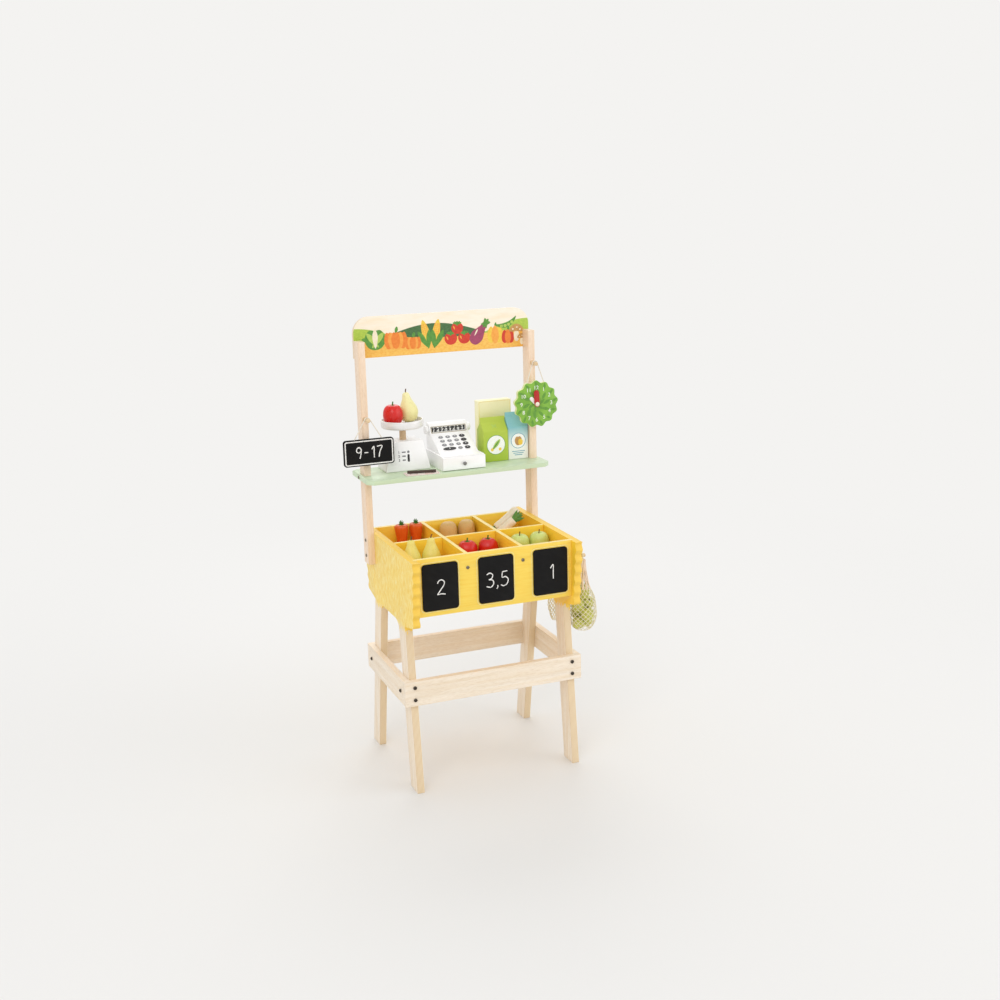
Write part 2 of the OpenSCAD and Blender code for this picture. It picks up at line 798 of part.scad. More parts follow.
// Hanging play clock with a wavy, leafy edge
module at_clock() { translate([post_x, hang_y, clock_peg_z]) children(); }
function wavy_disc(d, n, depth) = [
  for (i = [0 : n * wave_points - 1])
    let (a = 360 * i / (n * wave_points)) (d / 2 + depth * sin(n * a)) * [cos(a), sin(a)]];
clock_cord_h = clock_drop - sqrt(clock_d * clock_d - clock_cord_w * clock_cord_w) / 2;
module clock_face() {
  color("limegreen") at_clock() difference() {
    translate([0, 0, -clock_drop]) in_xz(-clock_t / 2, clock_t)
      polygon(wavy_disc(clock_d, clock_waves, clock_wave_depth));
    translate([0, 0, -clock_drop]) rotate([90, 0, 0])
      cylinder(d = hand_pin_d + 2 * fit_gap, h = 2 * clock_t, center = true);
    cord_hole(clock_cord_w / 2, clock_cord_h);
  }
}
module clock_cord() { color("white") at_clock() cord(clock_cord_w / 2, clock_cord_h, cord_in); }

// Hands: each layer stands a running gap in front of the last, +Z towards the front
module at_hands() {
  translate([post_x, hang_y - clock_t / 2, clock_peg_z - clock_drop]) rotate([90, 0, 0]) children();
}
hour_z = hand_gap;
minute_z = hour_z + hand_t + hand_gap;
pin_head_z = minute_z + hand_t + hand_gap;
module hand(z, l, w, lean) {
  at_hands() rotate([0, 0, lean]) translate([0, 0, z]) linear_extrude(hand_t) difference() {
    union() {
      circle(d = w);
      translate([-w / 2, 0]) square([w, l - w / 2]);
      translate([0, l - w / 2]) circle(d = w);
    }
    circle(d = hand_pin_d + 2 * run_gap);
  }
}
module clock_hour_hand() { color("white") hand(hour_z, hour_l, hour_w, hour_lean); }
module clock_minute_hand() { color("red") hand(minute_z, minute_l, minute_w, minute_lean); }
module clock_pin() {
  color("ivory") at_hands() {
    translate([0, 0, -clock_t]) cylinder(d = hand_pin_d, h = clock_t + pin_head_z);
    translate([0, 0, pin_head_z]) cylinder(d1 = pin_head_d, d2 = hand_pin_d, h = hand_t);
  }
}

// Where the goods stand on the shelf
module on_shelf(x, y) { translate([x, y, shelf_top_z + rest_gap]) children(); }

// Scale: a leaning housing, a dowel stem and a shallow dish
module at_scale() { on_shelf(scale_x, scale_y) children(); }
module scale_body() {
  color("whitesmoke") at_scale() difference() {
    intersection() {
      in_xz(0, scale_d)
        polygon([[-scale_w / 2, 0], [scale_w / 2, 0], [scale_w / 2, scale_foot_h], [scale_top_w / 2, scale_h],
                 [-scale_top_w / 2, scale_h], [-scale_w / 2, scale_foot_h]]);
      in_yz(-scale_w / 2, scale_w)
        polygon([[0, 0], [scale_d, 0], [scale_d, scale_h], [scale_slope, scale_h], [0, scale_foot_h]]);
    }
    translate([0, stem_y, scale_h - stem_in]) cylinder(d = stem_d + 2 * fit_gap, h = stem_in + cut);
  }
}
module scale_stem() {
  color("burlywood") at_scale() translate([0, stem_y, scale_h - stem_in + fit_gap])
    cylinder(d = stem_d, h = stem_in + stem_l + dish_socket - 2 * fit_gap);
}
module scale_dish() {
  r = dish_d / 2;
  color("silver") at_scale() translate([0, stem_y, dish_z]) rotate_extrude() polygon([
    [stem_d / 2 + fit_gap, 0], [r - dish_wall, 0], [r, dish_wall], [r, dish_h], [r - dish_wall, dish_h],
    [r - dish_wall, dish_floor_h], [0, dish_floor_h], [0, dish_socket], [stem_d / 2 + fit_gap, dish_socket]]);
}
module at_dish(share) {
  at_scale()
    translate([share[0] * dish_d / 2, stem_y + share[1] * dish_d / 2, dish_z + dish_floor_h + rest_gap])
      children();
}
module scale_tomato() { at_dish(dish_tomato_share) tomato(); }
module scale_pear() {
  at_dish(dish_pear_share) translate([0, 0, lean_drop(pear_d, pear_h, pear_shares, dish_pear_lean)])
    rotate([0, -dish_pear_lean, -dish_pear_turn]) pear();
}

// Cash register: sloped housing, drawer below, number roller behind a window
module at_till() { on_shelf(till_x, till_y) children(); }
module register_body() {
  color("whitesmoke") at_till() difference() {
    union() {
      block([-till_w / 2, till_front, 0], [till_w / 2, till_d, till_base_z]);
      in_yz(-till_body_w / 2, till_body_w) polygon([
        [till_ledge, bay_top_z], [till_d, bay_top_z], [till_d, till_h], [till_brow_y, till_h],
        [till_desk_y, till_desk_z], [till_ledge, till_base_z]]);
    }
    block([-bay_w / 2, till_front - cut, till_wall], [bay_w / 2, bay_back_y, bay_top_z]);
    translate([0, roller_y, roller_z]) rotate([0, 90, 0]) {
      cylinder(d = roller_d + 2 * roller_gap, h = roller_l + 2 * roller_gap, center = true);
      cylinder(d = axle_d + 2 * run_gap, h = till_body_w + 2 * cut, center = true);
    }
    block([-window_w / 2, till_desk_y - cut, roller_z - window_h / 2],
          [window_w / 2, roller_y, roller_z + window_h / 2]);
  }
}
module register_drawer() {
  color("white") at_till() difference() {
    union() {
      block([-till_w / 2, 0, till_wall / 2], [till_w / 2, drawer_front_t, drawer_h]);
      block([-tray_w / 2, drawer_front_t / 2, till_wall + rest_gap],
            [tray_w / 2, tray_back_y, bay_top_z - rest_gap]);
    }
    block([-tray_w / 2 + drawer_wall, drawer_front_t, till_wall + rest_gap + drawer_wall],
          [tray_w / 2 - drawer_wall, tray_back_y - drawer_wall, bay_top_z + cut]);
    translate([0, -cut, drawer_h / 2]) rotate([-90, 0, 0])
      cylinder(d = drawer_knob_d / 2 + 2 * fit_gap, h = cut + drawer_front_t + cut);
  }
}
module drawer_knob() {
  color("dimgray") at_till() translate([0, 0, drawer_h / 2]) rotate([90, 0, 0]) {
    translate([0, 0, -drawer_front_t]) cylinder(d = drawer_knob_d / 2, h = drawer_front_t);
    cylinder(d1 = drawer_knob_d * 3 / 4, d2 = drawer_knob_d, h = drawer_knob_d / 2);
    translate([0, 0, drawer_knob_d / 2])
      cylinder(d1 = drawer_knob_d, d2 = drawer_knob_d / 2, h = drawer_knob_d / 4);
  }
}
module number_roller() {
  color("ivory") at_till() translate([0, roller_y, roller_z]) rotate([0, 90, 0]) {
    cylinder(d = roller_d, h = roller_l, center = true);
    cylinder(d = axle_d, h = till_body_w + 2 * (knob_gap + knob_t) - till_wall, center = true);
  }
}
module roller_knobs() {
  color("white") at_till() translate([0, roller_y, roller_z]) for (sx = [0, 1]) mirror([sx, 0, 0])
    translate([till_body_w / 2 + knob_gap, 0, 0]) rotate([0, 90, 0]) difference() {
      union() {
        cylinder(d = knob_d, h = knob_t - knob_edge);
        translate([0, 0, knob_t - knob_edge])
          cylinder(d1 = knob_d, d2 = knob_d - 2 * knob_edge, h = knob_edge);
      }
      translate([0, 0, -cut])
        cylinder(d = axle_d + 2 * fit_gap, h = cut + knob_t - till_wall / 2 + fit_gap);
    }
}

// Gable-top cartons and a flat box
module carton(w, d, h) {
  body_h = h * carton_body_share;
  roof_h = h * carton_roof_share;
  fin_front = d / 2 - carton_fin_t / 2;
  fin_rear = d / 2 + carton_fin_t / 2;
  in_yz(-w / 2, w) polygon([[0, 0], [d, 0], [d, body_h], [fin_rear, roof_h], [fin_rear, h],
                            [fin_front, h], [fin_front, roof_h], [0, body_h]]);
}
module green_carton() { color("yellowgreen") on_shelf(green_x, green_y) carton(green_w, green_d, green_h); }
module blue_carton() { color("lightblue") on_shelf(blue_x, blue_y) carton(blue_w, blue_d, blue_h); }
module yellow_box() {
  color("khaki") on_shelf(green_x - green_w / 2 + box_in, green_y + green_d + goods_gap)
    cube([box_w, box_d, box_h]);
}
module play_note() {
  color("mistyrose") translate([note_x, note_y, shelf_top_z + rest_gap]) rotate([0, 0, note_turn])
    linear_extrude(note_t) square([note_w, note_d], center = true);
}
module chalk_stick() {
  color("saddlebrown") translate([note_x, note_y, shelf_top_z + 2 * rest_gap + note_t + chalk_d / 2])
    rotate([0, 0, note_turn - chalk_lean]) rotate([0, 90, 0])
      cylinder(d = chalk_d, h = chalk_l, center = true);
}

// Play food, each standing on the origin
module leaf_star(n, d, t) {
  linear_extrude(t) polygon([for (i = [0 : 2 * n - 1])
    let (a = 180 * i / n) (i % 2 == 0 ? d / 2 : d * leaf_waist_share / 2) * [cos(a), sin(a)]]);
}
module tomato() {
  color("red") turned(tomato_d, tomato_h, tomato_shares);
  color("green") translate([0, 0, tomato_h - leaf_t]) {
    leaf_star(tomato_leaves, tomato_d / 2, 2 * leaf_t);
    cylinder(d = stalk_d, h = stalk_l);
  }
}
module apple() {
  color("yellowgreen") turned(apple_d, apple_h, apple_shares);
  dip_z = apple_h * apple_dip_share;
  color("saddlebrown") translate([0, 0, dip_z]) cylinder(d = stalk_d, h = apple_h - dip_z + stalk_l);
}
module pear() {
  color("khaki") turned(pear_d, pear_h, pear_shares);
  color("saddlebrown") translate([0, 0, pear_h - stalk_l / 2]) cylinder(d = stalk_d, h = stalk_l * 3 / 2);
}
module carrot() {
  color("darkorange") turned(carrot_d, carrot_h, carrot_shares);
  color("green") translate([0, 0, carrot_h - leaf_t]) {
    leaf_star(carrot_leaves, carrot_d * 3 / 4, 2 * leaf_t);
    cylinder(d1 = carrot_d / 3, d2 = carrot_d / 2, h = carrot_top_l);
  }
}
module potato() { color("tan") turned(potato_d, potato_h, potato_shares); }
module leek() {
  color("ivory") turned(leek_d, leek_l, leek_shares);
  color("green") translate([0, 0, leek_l - leaf_t]) for (k = [-1, 0, 1]) rotate([0, k * leek_fan, 0])
    translate([0, leek_leaf_t / 2, 0]) rotate([90, 0, 0]) linear_extrude(leek_leaf_t) polygon(leek_leaf);
}

// How far a turned piece dips below the origin when it leans
function lean_drop(d, h, shares, lean) =
  max([for (q = smooth(shares)) q[0] * d / 2 * sin(lean) - q[1] * h * cos(lean)]);

// Places in the bins: column -1 to 1, row 0 in front and 1 behind
function bin_w(col) = col == 0 ? 2 * divider_x - divider_t : inner_x - divider_x - divider_t / 2;
function bin_x(col) = col * (divider_x + divider_t / 2 + bin_w(col) / 2);
bin_l = (bin_in_rear - bin_in_front - divider_t) / 2;
function bin_y(row) = bin_mid_y + (row == 0 ? -1 : 1) * (divider_t + bin_l) / 2;
module in_bin(col, row, x, y) { translate([bin_x(col) + x, bin_y(row) + y, floor_z + rest_gap]) children(); }

// One of a pair: side by side, and one further back where the bin is too narrow for that
module of_pair(col, row, d, share, k) {
  dx = min(d + food_gap, bin_w(col) - d - 2 * food_gap);
  dy = sqrt(max(0, pow(d + food_gap, 2) - dx * dx));
  free_x = (bin_w(col) - d - dx) / 2 - food_gap;
  free_y = (bin_l - d - dy) / 2 - food_gap;
  in_bin(col, row, share[0] * free_x + k * dx / 2, share[1] * free_y + k * dy / 2) children();
}
module pear_left() { of_pair(-1, 0, pear_d, pear_share, -1) pear(); }
module pear_right() { of_pair(-1, 0, pear_d, pear_share, 1) pear(); }
module tomato_left() { of_pair(0, 0, tomato_d, tomato_share, -1) tomato(); }
module tomato_right() { of_pair(0, 0, tomato_d, tomato_share, 1) tomato(); }
module apple_left() { of_pair(1, 0, apple_d, apple_share, -1) apple(); }
module apple_right() { of_pair(1, 0, apple_d, apple_share, 1) apple(); }
module carrot_left() { of_pair(-1, 1, carrot_d, carrot_share, -1) carrot(); }
module carrot_right() { of_pair(-1, 1, carrot_d, carrot_share, 1) carrot(); }
module potato_left() { of_pair(0, 1, potato_d, potato_share, -1) potato(); }
module potato_right() { of_pair(0, 1, potato_d, potato_share, 1) potato(); }

// Leeks lean to the right, the front one on its root and the rear one on its leaves
module leaning_leek(share, drop) {
  run = (leek_l + leek_leaf_l) * sin(leek_lean);
  free_x = (bin_w(1) - run - leek_d) / 2;
  free_y = (bin_l - leek_d) / 2 - food_gap;
  in_bin(1, 1, share[0] * free_x - run / 2, share[1] * free_y) translate([0, 0, drop])
    rotate([0, leek_lean, leek_turn]) children();
}
module leek_front() {
  leaning_leek(leek_front_share, lean_drop(leek_d, leek_l, leek_shares, leek_lean)) leek();
}
module leek_rear() {
  drop = max([for (k = [-1, 0, 1], q = leek_leaf) let (a = k * leek_fan)
    (q[0] * cos(a) + q[1] * sin(a)) * sin(leek_lean)
      - (leek_leaf_l + leaf_t + q[0] * sin(a) - q[1] * cos(a)) * cos(leek_lean)]);
  leaning_leek(leek_rear_share, drop) translate([0, 0, leek_l + leek_leaf_l]) mirror([0, 0, 1]) leek();
}

// Net bags hanging from the pegs of the right side panel
module net_bag(y, d, l) {
  color("beige") translate([bag_x, y, bag_peg_z - peg_d / 2 - rest_gap - l]) turned(d, l, bag_shares);
}
module full_net_bag() { net_bag(-full_bag_y, full_bag_d, full_bag_l - peg_d / 2); }
module empty_net_bag() { net_bag(empty_bag_y, empty_bag_d, empty_bag_l - peg_d / 2); }

side_panel_left();
side_panel_right();
front_rail();
rear_rail();
side_rail_left();
side_rail_right();
bin_front_board();
bin_rear_board();
bin_floor();
bin_long_divider();
bin_cross_divider_left();
bin_cross_divider_right();
price_board_left();
price_board_middle();
price_board_right();
post_left();
post_right();
header_panel();
shelf();
frame_bolts();
wood_screws();
pegs();
sign_board();
sign_cord();
clock_face();
clock_cord();
clock_pin();
clock_hour_hand();
clock_minute_hand();
scale_body();
scale_stem();
scale_dish();
scale_tomato();
scale_pear();
register_body();
register_drawer();
drawer_knob();
number_roller();
roller_knobs();
green_carton();
blue_carton();
yellow_box();
play_note();
chalk_stick();
pear_left();
pear_right();
tomato_left();
tomato_right();
apple_left();
apple_right();
carrot_left();
carrot_right();
potato_left();
potato_right();
leek_front();
leek_rear();
full_net_bag();
empty_net_bag();
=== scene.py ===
import math

import bmesh
import bpy
from mathutils import Matrix, Vector, noise
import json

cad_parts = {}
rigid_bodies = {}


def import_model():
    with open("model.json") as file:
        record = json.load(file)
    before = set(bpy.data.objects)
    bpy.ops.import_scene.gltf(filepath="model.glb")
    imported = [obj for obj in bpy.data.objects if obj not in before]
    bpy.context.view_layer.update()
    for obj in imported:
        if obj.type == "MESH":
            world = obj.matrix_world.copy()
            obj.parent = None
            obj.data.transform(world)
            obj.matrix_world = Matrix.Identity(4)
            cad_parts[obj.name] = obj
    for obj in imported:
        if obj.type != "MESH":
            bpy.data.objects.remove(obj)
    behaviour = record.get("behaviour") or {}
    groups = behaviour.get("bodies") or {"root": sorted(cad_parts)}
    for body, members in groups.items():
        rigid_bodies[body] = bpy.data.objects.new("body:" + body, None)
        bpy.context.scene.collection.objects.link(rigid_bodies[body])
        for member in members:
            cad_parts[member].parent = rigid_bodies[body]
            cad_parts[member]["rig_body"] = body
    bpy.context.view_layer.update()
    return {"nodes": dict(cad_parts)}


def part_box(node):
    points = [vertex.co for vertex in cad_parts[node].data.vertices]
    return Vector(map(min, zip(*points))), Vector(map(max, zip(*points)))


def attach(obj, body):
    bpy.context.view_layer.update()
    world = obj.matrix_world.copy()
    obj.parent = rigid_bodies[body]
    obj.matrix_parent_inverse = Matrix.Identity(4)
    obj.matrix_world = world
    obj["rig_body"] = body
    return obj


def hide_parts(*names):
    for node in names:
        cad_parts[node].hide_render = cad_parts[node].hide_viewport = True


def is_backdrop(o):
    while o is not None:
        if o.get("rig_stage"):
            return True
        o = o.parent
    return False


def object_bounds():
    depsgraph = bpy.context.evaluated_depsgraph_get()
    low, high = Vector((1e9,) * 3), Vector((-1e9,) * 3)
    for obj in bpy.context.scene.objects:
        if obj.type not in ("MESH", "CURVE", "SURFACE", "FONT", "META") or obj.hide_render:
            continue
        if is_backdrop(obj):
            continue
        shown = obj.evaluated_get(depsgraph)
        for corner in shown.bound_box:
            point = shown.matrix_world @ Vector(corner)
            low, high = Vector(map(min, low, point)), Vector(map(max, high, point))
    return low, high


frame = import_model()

MM = 0.001


def linear(code):
    """An sRGB hex colour as the linear values that a shader takes."""
    parts = [int(code[i:i + 2], 16) / 255 for i in (1, 3, 5)]
    return [p / 12.92 if p <= 0.04045 else ((p + 0.055) / 1.055) ** 2.4 for p in parts] + [1]


def add(tree, kind, feeds={}, **settings):
    """One node with its settings; an input takes a value, a hex colour or another node's output."""
    node = tree.nodes.new(kind)
    for name, value in settings.items():
        setattr(node, name, value)
    for name, value in feeds.items():
        if isinstance(name, int):
            socket = node.inputs[name]
        else:
            socket = next(s for s in node.inputs if s.name == name and s.enabled)
        if isinstance(value, bpy.types.NodeSocket):
            tree.links.new(value, socket)
        else:
            socket.default_value = linear(value) if str(value).startswith("#") else value
    return next((s for s in node.outputs if s.enabled), None)


def blend(tree, share, first, second, **settings):
    """A colour between two colours, by a share from 0 to 1."""
    feeds = {"Factor": share, "A": first, "B": second}
    return add(tree, "ShaderNodeMix", feeds, data_type="RGBA", **settings)


def calc(tree, step, *values):
    """One step of arithmetic on numbers or other nodes' outputs."""
    return add(tree, "ShaderNodeMath", dict(enumerate(values)), operation=step)


def ramp(tree, value, low=0, high=1, to=(0, 1), **settings):
    """A value stretched from low and high to another range, 0 to 1 unless said."""
    feeds = {"Value": value, "From Min": low, "From Max": high, "To Min": to[0], "To Max": to[1]}
    return add(tree, "ShaderNodeMapRange", feeds, **settings)


def axes(tree, vector):
    """X, Y and Z of a place on a piece or of a way."""
    return add(tree, "ShaderNodeSeparateXYZ", {"Vector": vector}).node.outputs


def faced(tree, place):
    """X, Y and Z of the way that the surface faces."""
    return axes(tree, place.node.outputs["Normal"])


def begin(name, roughness, **values):
    """A new finish: its material, node tree, shader and the place on the piece in metres."""
    finish = bpy.data.materials.new(name)
    finish.use_nodes = True
    tree = finish.node_tree
    shader = tree.nodes["Principled BSDF"]
    shader.inputs["Roughness"].default_value = roughness
    for socket, value in values.items():
        shader.inputs[socket.replace("_", " ")].default_value = value
    return finish, tree, shader, add(tree, "ShaderNodeTexCoord").node.outputs["Object"]


def marks(tree, place, size, low=0.35, high=0.65, turn=(0, 0, 0), detail=4):
    """Uneven marks from 0 to 1; their size in metres is one for all ways or three."""
    size = size if isinstance(size, tuple) else (size,) * 3
    laid = add(tree, "ShaderNodeMapping", {"Vector": place, "Scale": size, "Rotation": turn},
               vector_type="TEXTURE")
    cloud = add(tree, "ShaderNodeTexNoise", {"Vector": laid, "Scale": 1, "Detail": detail})
    return ramp(tree, cloud, low, high)


def coat(tree, shader, tone, height=None, depth=0.0):
    """Lays a colour on a finish and lets a pattern show as fine relief of this depth in mm."""
    tree.links.new(tone, shader.inputs["Base Color"])
    if height is not None:
        bump = add(tree, "ShaderNodeBump", {"Height": height, "Strength": 0.5, "Distance": depth * MM})
        tree.links.new(bump, shader.inputs["Normal"])


def bare_wood(tree, place, along, pale, dark):
    """Pale close-grained wood: broad figure, fine pores; gives its colour and its relief."""
    broad, fine = (tuple(long if k == along else short for k in range(3))
                   for long, short in ((0.17, 0.007), (0.011, 0.0007)))
    figure = marks(tree, place, broad, 0.3, 0.7)
    pores = marks(tree, place, fine, 0.5, 0.75, detail=2)
    faint = calc(tree, "MULTIPLY", pores, 0.35)
    return blend(tree, faint, blend(tree, figure, pale, dark), "#c39f6f"), pores


def plies(tree, across, spacing, low, high):
    """Lines of the plies on a sawn edge, this many mm apart across the sheet."""
    wave = calc(tree, "MULTIPLY", across, 2 * math.pi / (spacing * MM))
    return ramp(tree, calc(tree, "SINE", wave), low, high)


def on_face(tree, facing):
    """1 on the broad faces of a sheet and 0 on its sawn edges."""
    return ramp(tree, calc(tree, "ABSOLUTE", facing), 0.4, 0.6)


def plain(obj):
    """Turns a piece with modifiers into a plain mesh."""
    seen = obj.evaluated_get(bpy.context.evaluated_depsgraph_get())
    mesh = bpy.data.meshes.new_from_object(seen)
    obj.modifiers.clear()
    obj.data = mesh
    return obj


def eased(node, width, finish, cutter=None):
    """The shown copy of a machined piece: corners merged, edges eased by this width in mm."""
    mesh = frame["nodes"][node].data.copy()
    shape = bmesh.new()
    shape.from_mesh(mesh)
    bmesh.ops.remove_doubles(shape, verts=shape.verts, dist=0.01 * MM)
    bmesh.ops.dissolve_limit(shape, angle_limit=math.radians(0.5), verts=shape.verts, edges=shape.edges)
    shape.to_mesh(mesh)
    shape.free()
    mesh.materials.clear()
    mesh.materials.append(finish)
    mesh.shade_smooth()
    obj = bpy.data.objects.new(node + "_shown", mesh)
    bpy.context.scene.collection.objects.link(obj)
    if cutter:
        bore = obj.modifiers.new("bore", "BOOLEAN")
        bore.object, bore.solver = cutter, "EXACT"
    ease = obj.modifiers.new("ease", "BEVEL")
    ease.width, ease.segments, ease.limit_method = width * MM, 2, "ANGLE"
    ease.angle_limit, ease.harden_normals = math.radians(35), True
    plain(obj)
    if cutter:
        bpy.data.objects.remove(cutter)
    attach(obj, frame["nodes"][node]["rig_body"])
    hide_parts(node)
    return obj


# Straw print on ply: short crossing strokes, plain yellow inside the bins, ply lines on the sawn edges.
straw_ply, tree, shader, place = begin("straw print on birch ply", 0.5)
at, facing = axes(tree, place), faced(tree, place)
strokes = marks(tree, place, (0.01, 0.0034, 0.022), 0.4, 0.65, (0.35, 0, 0))
crossing = marks(tree, place, (0.01, 0.003, 0.02), 0.54, 0.64, (-0.5, 0, 0))
tone = blend(tree, crossing, blend(tree, strokes, "#fbdf80", "#f3ca50"), "#fceca6")
inner = calc(tree, "LESS_THAN", calc(tree, "MULTIPLY", facing["X"], at["X"]), -0.05)
tone = blend(tree, inner, tone, "#fdcf37")
wood, pores = bare_wood(tree, place, 2, "#f7ead8", "#efdcc1")
ragged = marks(tree, place, (0.01, 0.004, 0.02), 0.3, 0.7)
printed = calc(tree, "GREATER_THAN", at["Z"], ramp(tree, ragged, to=(0.324, 0.35)))
tone = blend(tree, printed, wood, tone)
ply = plies(tree, at["X"], 2.5, -0.3, 0.6)
lower, upper = blend(tree, ply, "#efdcbe", "#d9bb8c"), blend(tree, ply, "#f7cf55", "#f3c748")
tone = blend(tree, on_face(tree, facing["X"]), blend(tree, printed, lower, upper), tone)
coat(tree, shader, tone, pores, 0.1)
for side in ("left", "right"):
    eased(f"side_panel_{side}", 0.9, straw_ply)

# Base frame: front and rear rails across the legs and side rails between them, planed pale pine.
# Dark bolts with a hexagon socket hold the rails to the legs.


def timber(name, along, pale="#f8ecdb", dark="#f0dec4"):
    """Bare planed wood whose grain runs along X, Y or Z (0, 1 or 2)."""
    finish, tree, shader, place = begin(name, 0.48)
    coat(tree, shader, *bare_wood(tree, place, along, pale, dark), 0.12)
    return finish


def mottled(name, colour, second, size=0.004, roughness=0.45, low=0.4, high=0.7, depth=0.0,
            turn=(0, 0, 0), detail=4, **values):
    """A finish of one colour with uneven marks of a second, standing out by a depth in mm if given."""
    finish, tree, shader, place = begin(name, roughness, **values)
    patches = marks(tree, place, size, low, high, turn, detail)
    coat(tree, shader, blend(tree, patches, colour, second), patches if depth else None, depth)
    return finish


cross_pine = timber("pine, grain across the stall", 0)
deep_pine = timber("pine, grain from front to back", 1)
for rail in ("front_rail", "rear_rail"):
    eased(rail, 1, cross_pine)
for rail in ("side_rail_left", "side_rail_right"):
    eased(rail, 1, deep_pine)


def over(shape, rings, skin=0):
    """Covers rings of equally many points with faces and closes both ends."""
    rows = [[shape.verts.new(p) for p in ring] for ring in rings]
    faces = [shape.faces.new(reversed(rows[0])), shape.faces.new(rows[-1])]
    for low, high in zip(rows, rows[1:]):
        for i in range(len(low)):
            j = (i + 1) % len(low)
            faces.append(shape.faces.new((low[i], low[j], high[j], high[i])))
    for f in faces:
        f.material_index = skin
    return shape


def slab(shape, outline, thick, place=Matrix(), skin=0, ease=0):
    """A flat outline in mm standing up along Z by its thickness, its upper edge eased."""
    count = len(outline)
    inset = []
    for i, p in enumerate(outline):
        a, b = Vector(outline[i - 1]), Vector(outline[(i + 1) % count])
        way = (b - a).normalized()
        inset.append((p[0] - way.y * ease, p[1] + way.x * ease))
    rings = [[place @ Vector((x, y, 0)) for x, y in outline]]
    if ease:
        rings.append([place @ Vector((x, y, thick - ease)) for x, y in outline])
    rings.append([place @ Vector((x, y, thick)) for x, y in inset])
    return over(shape, rings, skin)


def repeat(item, spots, finish, seed=1, spread=0.0):
    """Sets copies of one item on spots (place, turn in radians, size) and gives them as one shape."""
    one, dots = bpy.data.meshes.new("item"), bpy.data.meshes.new("spots")
    item.to_mesh(one)
    item.free()
    dots.from_pydata([s[0] for s in spots], [], [])
    turns = dots.attributes.new("turn", "FLOAT_VECTOR", "POINT")
    turns.data.foreach_set("vector", [v for s in spots for v in s[1]])
    sizes = dots.attributes.new("size", "FLOAT", "POINT")
    sizes.data.foreach_set("value", [s[2] for s in spots])
    thing, host = bpy.data.objects.new("item", one), bpy.data.objects.new("spots", dots)
    for o in (thing, host):
        bpy.context.scene.collection.objects.link(o)
    tree = bpy.data.node_groups.new("copies on spots", "GeometryNodeTree")
    for name, way in (("Spots", "INPUT"), ("Copies", "OUTPUT")):
        tree.interface.new_socket(name, in_out=way, socket_type="NodeSocketGeometry")
    info = add(tree, "GeometryNodeObjectInfo", {"Object": thing}).node.outputs["Geometry"]
    turn = add(tree, "GeometryNodeInputNamedAttribute", {"Name": "turn"}, data_type="FLOAT_VECTOR")
    size = add(tree, "GeometryNodeInputNamedAttribute", {"Name": "size"}, data_type="FLOAT")
    vary = add(tree, "FunctionNodeRandomValue", {"Min": 1 - spread, "Max": 1 + spread, "Seed": seed},
               data_type="FLOAT")
    copies = add(tree, "GeometryNodeInstanceOnPoints", {
        "Points": add(tree, "NodeGroupInput"), "Instance": info,
        "Rotation": add(tree, "FunctionNodeEulerToRotation", {"Euler": turn}),
        "Scale": calc(tree, "MULTIPLY", size, vary)})
    solid = add(tree, "GeometryNodeRealizeInstances", {"Geometry": copies})
    done = add(tree, "GeometryNodeSetMaterial", {"Geometry": solid, "Material": finish})
    add(tree, "NodeGroupOutput", {"Copies": done})
    host.modifiers.new("copies", "NODES").node_group = tree
    plain(host)
    shape = bmesh.new()
    shape.from_mesh(host.data)
    for o in (thing, host):
        bpy.data.objects.remove(o)
    return shape


def ring(count, radius):
    """Points of a regular outline."""
    steps = [2 * math.pi * i / count for i in range(count)]
    return [(radius * math.cos(a), radius * math.sin(a)) for a in steps]


def as_object(shape, name):
    """A shape drawn in mm as an object in metres."""
    bmesh.ops.recalc_face_normals(shape, faces=shape.faces)
    bmesh.ops.scale(shape, vec=(MM, MM, MM), verts=shape.verts)
    mesh = bpy.data.meshes.new(name)
    shape.to_mesh(mesh)
    shape.free()
    obj = bpy.data.objects.new(name.replace(" ", "_"), mesh)
    bpy.context.scene.collection.objects.link(obj)
    return obj


black_steel = mottled("black oxide steel", "#4a4540", "#655d55", 0.002, 0.38, depth=0.05, Metallic=1.0)
quarter = math.pi / 2
bolt_x, bolt_rows, bolt_out = 172.5, (197, 223), 3.4
side_bolt_x, side_bolt_places, side_bolt_z = 196.4, (-95.43, 108.68), 210
socket_r, socket_deep = 1.9, 2.2
front_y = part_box("front_rail")[0].y / MM - bolt_out
rear_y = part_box("rear_rail")[1].y / MM + bolt_out
spots = []
for x in (-bolt_x, bolt_x):
    for z in bolt_rows:
        spots.append(((x, front_y, z), (-quarter, 0, 0), 1))
        spots.append(((x, rear_y, z), (quarter, 0, 0), 1))
for y in side_bolt_places:
    for s in (-1, 1):
        spots.append(((s * side_bolt_x, y, side_bolt_z), (0, -s * quarter, 0), 1))
socket = slab(bmesh.new(), ring(6, socket_r), socket_deep)
sockets = as_object(repeat(socket, spots, black_steel), "hexagon sockets")
eased("frame_bolts", 0.35, black_steel, sockets)

# Bins: front and rear boards in grooves, a floor in the boards and halved dividers, all yellow ply.
# The front board carries faint straw strokes; the sawn upper edges show the ply a little paler.


